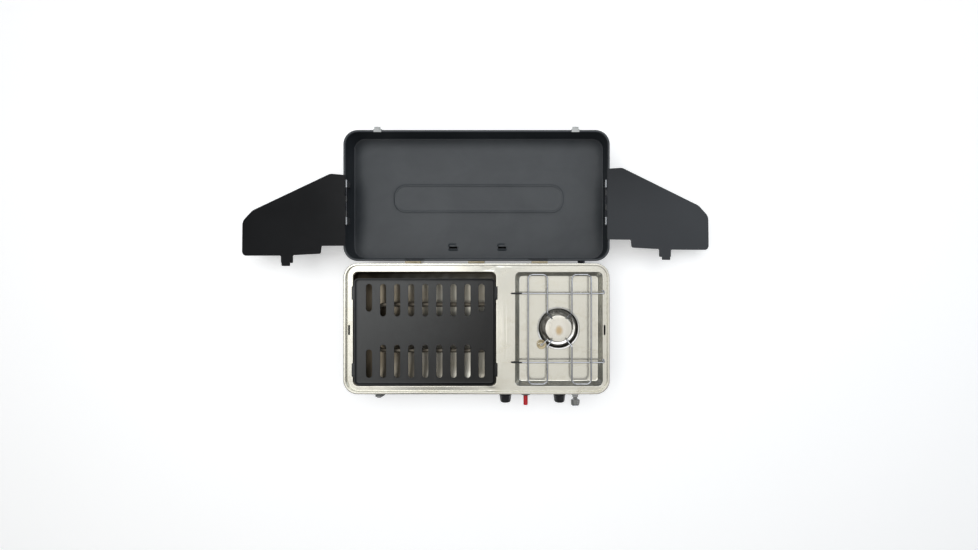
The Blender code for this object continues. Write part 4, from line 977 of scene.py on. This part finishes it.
griddle = {
    "thickness": 2 * mm,
    "outerFillet": 4 * mm,
    "innerFillet": 3.4 * mm,
    "corner": 9 * mm,
    "columns": 9,
    "pitch": 32.56 * mm,
    "width": 13.7 * mm,
    "rows": ((-115.5 * mm, -39 * mm), (26.8 * mm, 102 * mm)),
    "endShorter": 11 * mm,
    "ear": 6 * mm,
    "earLength": 31 * mm,
    "earThickness": 1.5 * mm,
    "earPlaces": (-95.5 * mm, 81.3 * mm),
    "slotEdge": 0.55 * mm,
}


def stadium(left, right, front, back, steps=9):
    # a slot with half-round ends, as one ring
    radius = (right - left) / 2
    middle = (left + right) / 2
    far = arc((middle, back - radius), radius, 0, 180, steps)
    return np.concatenate([far, arc((middle, front + radius), radius, 180, 360, steps)])


def makeGriddle():
    # a thick cast plate with an upstanding edge: rings up the outside, over the rounded edge, down the
    # inside and across the floor; the slots are cut through it
    low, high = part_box("griddle")
    outline = (low.x + griddle["ear"], high.x - griddle["ear"], low.y, high.y)
    wall, out, into = griddle["thickness"], griddle["outerFillet"], griddle["innerFillet"]
    lip = 0.85 * mm
    profile = np.concatenate([
        arc((out, low.z + out), out, 270, 180, 5),
        arc((lip, high.z - lip), lip, 180, 90, 4),
        arc((wall - lip, high.z - lip), lip, 90, 0, 4),
        arc((wall + into, low.z + wall + into), into, 180, 270, 6),
    ])
    rings = [
        level(caseLoop(inside(outline, inset), max(griddle["corner"] - inset * 0.6, 2 * mm)), height)
        for inset, height in profile
    ]
    piece = makePiece(
        "griddle_plate", [sheetOf(np.stack(rings), caps=(0, -1))], "griddle", ["griddle"],
        "griddle",
    )
    middle = (outline[0] + outline[1]) / 2
    slots = []
    for column in range(griddle["columns"]):
        x = middle + (column - (griddle["columns"] - 1) / 2) * griddle["pitch"]
        atEnd = column in (0, griddle["columns"] - 1)
        (frontFrom, frontTo), (backFrom, backTo) = griddle["rows"]
        frontTo -= griddle["endShorter"] * atEnd
        backFrom += griddle["endShorter"] * atEnd
        for start, end in ((frontFrom, frontTo), (backFrom, backTo)):
            ring = stadium(x - griddle["width"] / 2, x + griddle["width"] / 2, start, end)
            levels = np.stack([level(ring, low.z - 5 * mm), level(ring, low.z + 8 * mm)])
            slots.append(sheetOf(levels, caps=(0, -1)))
    cutOut(piece, "griddle_slots", slots)
    soften(piece, griddle["slotEdge"], 3, 50)

    lugs = []
    for y in griddle["earPlaces"]:
        for edge, sign in ((outline[0], -1), (outline[1], 1)):
            outer, inner = edge + sign * griddle["ear"], edge - sign * 0.8 * mm
            half = griddle["earLength"] / 2
            lug = (min(outer, inner), max(outer, inner), y - half, y + half)
            top = deckTop + 0.3 * mm + griddle["earThickness"]
            levels = [
                (0.0, top - griddle["earThickness"]), (0.0, top - 0.4 * mm),
                (0.12 * mm, top - 0.12 * mm), (0.4 * mm, top),
            ]
            rings = [
                level(caseLoop(inside(lug, inset), 2 * mm - inset, straights=(3, 8), bend=8), z)
                for inset, z in levels
            ]
            lugs.append(sheetOf(np.stack(rings), caps=(0, -1)))
    makePiece("griddle_lugs", lugs, "griddle", [], "griddle", sharp=50)


grate = {
    "wire": 2 * mm,
    "loopInner": 28 * mm,
    "tip": 17 * mm,
    "tipReach": 25 * mm,
    "bendReach": 38 * mm,
    "tipDrop": 7 * mm,
    "corner": 11 * mm,
    "hook": 3.1 * mm,
    "barDrop": 3.0 * mm,
}


def evenly(path, step):
    # the path with points spread along it no further apart than the step
    lengths = np.linalg.norm(np.diff(path, axis=0), axis=1)
    pieces = [path[:1]]
    for start, end, length in zip(path, path[1:], lengths):
        count = max(1, int(math.ceil(length / step)))
        pieces.append(start + (end - start) * (np.arange(1, count + 1) / count)[:, None])
    return np.concatenate(pieces)


def makeGrate():
    wire = grate["wire"]
    for side, sign in (("left", -1), ("right", 1)):
        low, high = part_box(f"grate_loop_{side}")
        centre = (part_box("grate_loop_left")[0].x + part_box("grate_loop_right")[1].x) / 2
        outer = (low.x + wire) if sign < 0 else (high.x - wire)
        inner = centre + sign * grate["loopInner"]
        front, back, top = low.y + wire, high.y - wire, high.z - wire
        tipX = centre + sign * grate["tip"]
        tipZ = top - grate["tipDrop"]
        y = burnerCentre.y
        corners = [
            (tipX, y + grate["tipReach"], tipZ), (inner, y + grate["bendReach"], top), (inner, back, top),
            (outer, back, top), (outer, front, top), (inner, front, top),
            (inner, y - grate["bendReach"], top), (tipX, y - grate["tipReach"], tipZ),
        ]
        bend = grate["corner"]
        radii = [0, bend / 2, bend, bend, bend, bend, bend / 2, 0]
        path = evenly(roundedPath(corners, radii, 10), 6 * mm)
        makePiece(
            f"grate_frame_{side}", [rodAlong(path, wire * 0.995, 18)], "grate", [f"grate_loop_{side}"],
            "chrome",
        )
    for side in ("front", "back"):
        low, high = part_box(f"grate_bar_{side}")
        y, z = (low.y + high.y) / 2, (low.z + high.z) / 2
        hook = grate["hook"]
        turn = np.radians(np.linspace(-90, 110, 16))
        curl = np.stack([
            high.x - wire - hook + hook * np.cos(turn), y + hook + hook * np.sin(turn), np.full(16, z)
        ], 1)
        run = np.array([
            (low.x + wire, y, z - grate["barDrop"]), (low.x + 9 * mm, y, z),
            (high.x - wire - hook - 1 * mm, y, z),
        ])
        run = roundedPath(run, [0, 6 * mm, 0], 6)
        path = evenly(np.concatenate([run, curl]), 5 * mm)
        makePiece(
            f"grate_bar_wire_{side}", [rodAlong(path, wire * 0.995, 18)], "grate", [f"grate_bar_{side}"],
            "grateBar",
        )


burner = {
    "rim": 50 * mm,
    "throat": 46.4 * mm,
    "depth": 20 * mm,
    "sheet": 0.8 * mm,
    "head": 28.5 * mm,
    "ports": 36,
    "cap": 31.3 * mm,
}


def makeBurner():
    centre = (burnerCentre.x, burnerCentre.y, 0)
    sit = wellFloor + 0.3 * mm
    sheet, throat, rim = burner["sheet"], burner["throat"], burner["rim"]
    floor = sit - burner["depth"]
    # the bowl: a flat rim, rolled over into the throat, then a hollow curve into a nearly flat floor
    bowl = np.concatenate([
        [[rim - 0.3 * mm, sit]],
        arc((rim - 0.75 * mm, sit + 0.75 * mm), 0.75 * mm, -20, 150, 7),
        [[rim - 1.9 * mm, sit + sheet], [throat + 1.6 * mm, sit + sheet]],
        arc((throat + 1.2 * mm, sit - 1.4 * mm), 2.2 * mm, 90, 165, 6),
        arc((throat - 9.4 * mm, sit - 4 * mm), 8.6 * mm, -4, -72, 9),
        [[27 * mm, floor + 5.6 * mm], [21 * mm, floor + 4.6 * mm], [12.6 * mm, floor + 4.2 * mm]],
    ])
    piece = makePiece(
        "burner_dish", [lathe(bowl, centre, steps=96)], "base", ["burner_bowl"], "dish",
        facing=(0, 0, 1),
    )
    thicken(piece, 0.5 * mm)
    low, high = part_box("burner_head")
    top = high.z
    head = np.concatenate([
        [[0, top]], [[burner["head"] - 1 * mm, top], [burner["head"], top - 0.8 * mm]],
        np.linspace([burner["head"], top - 1.8 * mm], [burner["head"], top - 8 * mm], 8),
        [[burner["head"] - 2.4 * mm, top - 10.6 * mm], [17 * mm, low.z + 11 * mm], [12 * mm, low.z + 9 * mm]],
        [[12 * mm, low.z], [0, low.z]],
    ])

    def ports(radius, angle, height):
        # notches round the side that let the flames out
        above = smoothStep(height, top - 7.4 * mm, top - 6.4 * mm)
        band = above * (1 - smoothStep(height, top - 2.4 * mm, top - 1.6 * mm))
        cut = smoothStep(np.cos(angle * burner["ports"]), 0.1, 0.75)
        return radius - 1.6 * mm * band * cut * (radius > burner["head"] - 0.1 * mm)

    makePiece(
        "burner_crown", [lathe(head, centre, steps=360, shape=ports)], "base", ["burner_head"],
        "cast",
    )
    low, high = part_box("burner_cap")
    radius, height = burner["cap"], high.z - low.z
    dome = np.radians(np.linspace(90, 30, 12))
    # the cap: a shallow dome with a rounded shoulder, drawn over at its edge
    rise = [
        [
            (radius - 3 * mm) * math.cos(angle) / math.cos(dome[-1]),
            low.z + height * (0.62 + 0.38 * (math.sin(angle) - 0.5) / 0.5),
        ]
        for angle in dome
    ]
    shoulder = arc((radius - 2 * mm, low.z + height * 0.62 - 1.8 * mm), 1.9 * mm, 75, 0, 5)
    under = [[radius - 0.1 * mm, low.z + 0.1 * mm], [radius - 0.6 * mm, low.z], [0, low.z]]
    cap = np.concatenate([rise, shoulder, under])
    makePiece(
        "burner_lid", [lathe(cap, centre, steps=120)], "base", ["burner_cap"], "cap", sharp=60
    )


electrode = {
    "eyelet": (-6.6 * mm, 1.4 * mm),
    "eyeletRadius": 2.1 * mm,
    "glaze": 3 * mm,
}


def makeElectrode():
    low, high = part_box("electrode_bracket")
    centre = ((low.x + high.x) / 2, (low.y + high.y) / 2, 0)
    radius = (high.x - low.x) / 2
    bore = 3.3 * mm
    # a pressed washer, dished towards the ceramic in its middle
    washer = np.concatenate([
        [[bore, low.z], [radius - 0.4 * mm, low.z], [radius, low.z + 0.5 * mm]],
        arc((radius - 0.6 * mm, high.z - 0.6 * mm), 0.6 * mm, 0, 90, 4),
        [[radius - 2.5 * mm, high.z], [radius - 3.6 * mm, high.z - 0.5 * mm]],
        [[bore + 1.6 * mm, high.z - 0.5 * mm]],
        [[bore + 0.7 * mm, high.z - 0.1 * mm], [bore, high.z - 0.1 * mm], [bore, low.z]],
    ])
    piece = makePiece(
        "electrode_plate", [lathe(washer, centre, steps=72)], "base", ["electrode_bracket"],
        "yellowZinc",
    )
    eyelet = (centre[0] + electrode["eyelet"][0], centre[1] + electrode["eyelet"][1], 0)
    hole = [(electrode["eyeletRadius"], low.z - 3 * mm), (electrode["eyeletRadius"], high.z + 3 * mm)]
    points, faces = lathe(hole, eyelet, steps=24)
    faces += [list(range(24)), list(range(47, 23, -1))]
    cutOut(piece, "eyelet_hole", [(points, faces)])
    low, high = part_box("electrode_ceramic")
    glaze = electrode["glaze"]
    body = np.concatenate([
        [[0, high.z]], arc((glaze - 0.9 * mm, high.z - 0.9 * mm), 0.9 * mm, 90, 0, 5),
        [[glaze, low.z + 0.5 * mm], [glaze - 0.5 * mm, low.z], [0, low.z]],
    ])
    centre = ((low.x + high.x) / 2, (low.y + high.y) / 2, 0)
    makePiece(
        "spark_ceramic", [lathe(body, centre, steps=40)], "base", ["electrode_ceramic"], "ceramic"
    )


makeGriddle()
makeGrate()
makeBurner()
makeElectrode()
print("griddle, grate and burner made")

knob = {
    "radius": 14.7 * mm,
    "endRadius": 12.2 * mm,
    "flutes": 14,
    "fluteDepth": 0.55 * mm,
    "dish": 1.0 * mm,
    "bezel": 12.8 * mm,
    "bore": 5.65 * mm,
}


def makeKnobs():
    for side in ("left", "right"):
        low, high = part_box(f"knob_{side}")
        centre = ((low.x + high.x) / 2, 0, (low.z + high.z) / 2)
        near, far = -high.y, -low.y
        wide, narrow = knob["radius"], knob["endRadius"]
        # a tapered grip with a skirt at its root and a dished face
        profile = np.concatenate([
            [[3.3 * mm, near], [wide - 0.6 * mm, near], [wide, near + 0.5 * mm], [wide, near + 2.2 * mm]],
            np.linspace([wide - 0.5 * mm, near + 2.9 * mm], [narrow + 0.1 * mm, far - 1.5 * mm], 9),
            arc((narrow - 1.2 * mm, far - 1.2 * mm), 1.2 * mm, 0, 90, 5),
            [[narrow - 2.4 * mm, far], [narrow - 3.6 * mm, far - knob["dish"]], [0, far - knob["dish"]]],
        ])

        def flutes(radius, angle, height):
            # finger grooves that fade out towards the skirt and the face
            above = smoothStep(height, near + 2.6 * mm, near + 5 * mm)
            grip = above * (1 - smoothStep(height, far - 1.6 * mm, far - 0.2 * mm))
            outer = smoothStep(radius, narrow - 1 * mm, narrow)
            return radius - knob["fluteDepth"] * grip * outer * (0.5 - 0.5 * np.cos(angle * knob["flutes"]))

        sheets = [lathe(profile, centre, "-Y", 168, flutes)]
        # the raised pointer: a thin bar with rounded ends from the middle of the face to its top
        pointer = stadium(-0.7 * mm, 0.7 * mm, 1.0 * mm, narrow - 2.8 * mm, 6)
        face = -(far - knob["dish"]) + 0.15 * mm
        rings = [
            np.stack([centre[0] + pointer[:, 0], np.full(len(pointer), y), centre[2] + pointer[:, 1]], 1)
            for y in (face, face - 0.75 * mm)
        ]
        sheets.append(sheetOf(np.stack(rings), caps=(0, -1)))
        makePiece(f"grip_{side}", sheets, f"{side}_knob", [f"knob_{side}"], "blackPlastic")
    low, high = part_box("igniter_bezel")
    centre = ((low.x + high.x) / 2, 0, (low.z + high.z) / 2)
    near, far = -high.y, -low.y
    wide, bore = knob["bezel"], knob["bore"]
    # the bezel: a round boss with a softened shoulder and a collar round the button
    bezel = np.concatenate([
        [[bore, near], [wide - 0.4 * mm, near], [wide, near + 0.4 * mm], [wide, near + 7.2 * mm]],
        arc((wide - 1.6 * mm, near + 7.4 * mm), 1.6 * mm, 0, 80, 6),
        [[bore + 3.2 * mm, far - 1.0 * mm]],
        arc((bore + 2.2 * mm, far - 0.9 * mm), 0.9 * mm, 0, 90, 4),
        [[bore + 0.5 * mm, far], [bore, far - 0.5 * mm], [bore, near]],
    ])
    makePiece(
        "button_bezel", [lathe(bezel, centre, "-Y", 96)], "base", ["igniter_bezel"],
        "blackPlastic",
    )
    low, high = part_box("igniter_button")
    near, far = -high.y, -low.y
    wide = (high.x - low.x) / 2
    button = np.concatenate([
        [[0, near], [wide, near], [wide, far - 6 * mm], [wide, far - 2 * mm]],
        arc((wide - 1.3 * mm, far - 1.3 * mm), 1.3 * mm, 0, 90, 7),
        [[wide - 2.6 * mm, far], [0, far - 0.25 * mm]],
    ])
    makePiece(
        "button_cap", [lathe(button, centre, "-Y", 64)], "igniter_button", ["igniter_button"],
        "redPlastic",
    )


def makeFirebox():
    # the pan under the griddle: a flange, a straight wall and a long curve into the floor
    low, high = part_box("firebox_tray")
    outline = (low.x, high.x, low.y, high.y)
    flange = deck["trayFlange"]
    top, wall = high.z, high.z - 17 * mm
    drop, reach = wall - low.z, 44 * mm
    turn = np.radians(np.linspace(0, 90, 12))[1:]
    curve = np.stack([flange + reach * (1 - np.cos(turn)), wall - drop * np.sin(turn)], 1)
    profile = np.concatenate([
        [[0, top], [flange - 0.8 * mm, top], [flange, top - 0.8 * mm], [flange, wall]], curve,
        [[flange + reach + 20 * mm, low.z]],
    ])
    rings = []
    for inset, height in profile:
        corner = deck["openingCorner"] + min(inset, 24 * mm) * 0.6
        rings.append(level(caseLoop(inside(outline, inset), corner, bend=14), height))
    piece = makePiece(
        "fire_pan", [sheetOf(np.stack(rings), caps=(-1,))], "base", ["firebox_tray"], "tray",
        facing=(0, 0, 1),
    )
    thicken(piece, -0.7 * mm, 1)


def makeFeet():
    for place in ("front_left", "front_right", "back_left", "back_right"):
        low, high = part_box(f"foot_{place}")
        centre = ((low.x + high.x) / 2, (low.y + high.y) / 2, 0)
        wide = (high.x - low.x) / 2
        narrow = wide - 1.5 * mm
        # a turned rubber foot with a rounded sole and a shallow hollow in it
        foot = np.concatenate([
            [[0, high.z], [wide - 0.5 * mm, high.z], [wide, high.z - 0.6 * mm]],
            arc((narrow - 1.2 * mm, low.z + 1.2 * mm), 1.2 * mm, 0, -90, 5),
            [[narrow - 3.4 * mm, low.z], [narrow - 4.4 * mm, low.z + 1.2 * mm], [0, low.z + 1.2 * mm]],
        ])
        makePiece(
            f"rubber_{place}", [lathe(foot, centre, steps=48)], "base", [f"foot_{place}"], "rubber"
        )


edged = {
    "zincSteel": (0.25 * mm, [
        "latch_plate_left", "latch_plate_right", "latch_lever_left", "latch_lever_right",
        "keeper_left", "keeper_right",
    ]),
    "yellowZinc": (0.2 * mm, [
        "hinge_leaf_base_1", "hinge_leaf_base_2", "hinge_leaf_base_3",
        "hinge_leaf_lid_1", "hinge_leaf_lid_2", "hinge_leaf_lid_3",
    ]),
    "sleeveSteel": (0.15 * mm, [
        "wing_sleeve_left_1", "wing_sleeve_left_2", "wing_sleeve_right_1", "wing_sleeve_right_2",
    ]),
}


def makeEdged():
    # small pressed parts keep the frame's own shape, with their edges broken by a fine round
    for finish, (width, names) in edged.items():
        for name in names:
            node = frame["nodes"][name]
            shape = bmesh.new()
            shape.from_mesh(node.data)
            shape.transform(node.matrix_world)
            bmesh.ops.remove_doubles(shape, verts=shape.verts, dist=2e-6)
            bmesh.ops.dissolve_limit(
                shape, angle_limit=math.radians(0.5), verts=shape.verts, edges=shape.edges
            )
            mesh = bpy.data.meshes.new(f"{name}_edged")
            shape.to_mesh(mesh)
            shape.free()
            piece = fitPiece(f"{name}_edged", mesh, bodyOfNode[name], [name], finish, 38)
            soften(piece, width, 2, 50)


makeKnobs()
makeFirebox()
makeFeet()
makeEdged()
print("controls, pan, feet and small fittings made")


# floor, light and camera

studio = {
    "floorColour": (0.92, 0.92, 0.915),
    "ambient": 0.15,
    "floorGlow": 0.36,
    "cameraPlace": (0.0994, 0.1527, 0.884),
    "lens": 12.89,
    "shift": (-0.0317, -0.0133),
}


def softbox(name, place, aim, size, glow, colour=(1, 1, 1)):
    # a rectangular lamp; glow is its brightness against a white card
    lamp = bpy.data.lights.new(name, "AREA")
    lamp.shape = "RECTANGLE"
    lamp.size, lamp.size_y = size
    lamp.energy = glow * math.pi * size[0] * size[1]
    lamp.color = colour
    holder = bpy.data.objects.new(name, lamp)
    bpy.context.scene.collection.objects.link(holder)
    holder.location = place
    holder.rotation_euler = (Vector(aim) - Vector(place)).to_track_quat("-Z", "Y").to_euler()
    holder.visible_camera = False
    return holder


def makeStudio():
    floorFinish = Finish("floorCard", Roughness=0.75)
    grain = floorFinish.noise(0.3, 2)
    floorFinish.set("Base Color", floorFinish.mix(grain, studio["floorColour"], (0.905, 0.905, 0.9)))
    floorFinish.set("Emission Color", (1.0, 1.0, 1.0))
    floorFinish.set("Emission Strength", studio["floorGlow"])
    half = 4.0
    side = np.linspace(-half, half, 5)
    x, y = np.meshgrid(side, side, indexing="ij")
    points, faces = sheetOf(np.stack([x, y, np.full_like(x, cadLow.z)], -1), joined=False)
    mesh = bpy.data.meshes.new("floor_card")
    mesh.from_pydata(points.tolist(), [], [face[::-1] for face in faces])
    mesh.materials.append(floorFinish.material)
    card = bpy.data.objects.new("floor_card", mesh)
    bpy.context.scene.collection.objects.link(card)

    world = bpy.data.worlds.new("studio")
    bpy.context.scene.world = world
    world.use_nodes = True
    nodes, links = world.node_tree.nodes, world.node_tree.links
    backdrop = nodes["Background"]
    backdrop.inputs["Color"].default_value = (0.90, 0.94, 1.0, 1)
    backdrop.inputs["Strength"].default_value = studio["ambient"]
    seen = nodes.new("ShaderNodeBackground")
    seen.inputs["Color"].default_value = (0.9, 0.9, 0.9, 1)
    choice = nodes.new("ShaderNodeMixShader")
    links.new(nodes.new("ShaderNodeLightPath").outputs["Is Camera Ray"], choice.inputs[0])
    links.new(backdrop.outputs[0], choice.inputs[1])
    links.new(seen.outputs[0], choice.inputs[2])
    links.new(choice.outputs[0], nodes["World Output"].inputs["Surface"])

    softbox("overhead", (-0.2, 1.0, 2.2), (-0.1, 0.5, 0), (2.8, 1.6), 2.3, (0.97, 0.985, 1.0))
    softbox("leftBank", (-1.05, -0.3, 2.15), (-0.9, -0.2, 0), (1.1, 1.4), 1.5, (1.0, 0.985, 0.95))
    softbox("frontFill", (0.45, -0.55, 2.2), (0.35, -0.4, 0), (1.8, 1.5), 0.87, (1.0, 0.98, 0.94))
    softbox("rightWindow", (2.35, 0.5, 1.9), (0.5, 0.3, 0.1), (1.3, 1.9), 1.55, (0.84, 0.91, 1.0))

    lens = bpy.data.cameras.new("overhead_view")
    lens.lens = studio["lens"]
    lens.sensor_width = 36
    lens.shift_x, lens.shift_y = studio["shift"]
    lens.clip_start = 0.01
    viewer = bpy.data.objects.new("overhead_view", lens)
    bpy.context.scene.collection.objects.link(viewer)
    viewer.location = studio["cameraPlace"]
    bpy.context.scene.camera = viewer
    bpy.context.scene.view_settings.view_transform = "Standard"


makeStudio()
print("floor, lamps and camera set")


# finishes on the carried-over nodes

nodeFinishes = {
    "darkSteel": ["wing_pin_left", "wing_pin_right", "gas_inlet"],
    "chrome": [
        "electrode_tip", "valve_stem_left", "valve_stem_right",
        "hinge_pin_1", "hinge_pin_2", "hinge_pin_3", "latch_bail_left", "latch_bail_right",
    ],
    "aluminiumTube": ["supply_pipe", "griddle_feed", "burner_feed"],
    "burnerTube": ["griddle_burner"],
    "brass": ["valve_left", "valve_right", "gas_manifold"],
    "blackPlastic": ["igniter_body"],
    "rubber": ["ignition_lead"],
}
for finishName, nodeNames in nodeFinishes.items():
    for nodeName in nodeNames:
        for materialSlot in frame["nodes"][nodeName].material_slots:
            materialSlot.material = finishes[finishName]
print("finishes put on the frame's own parts")
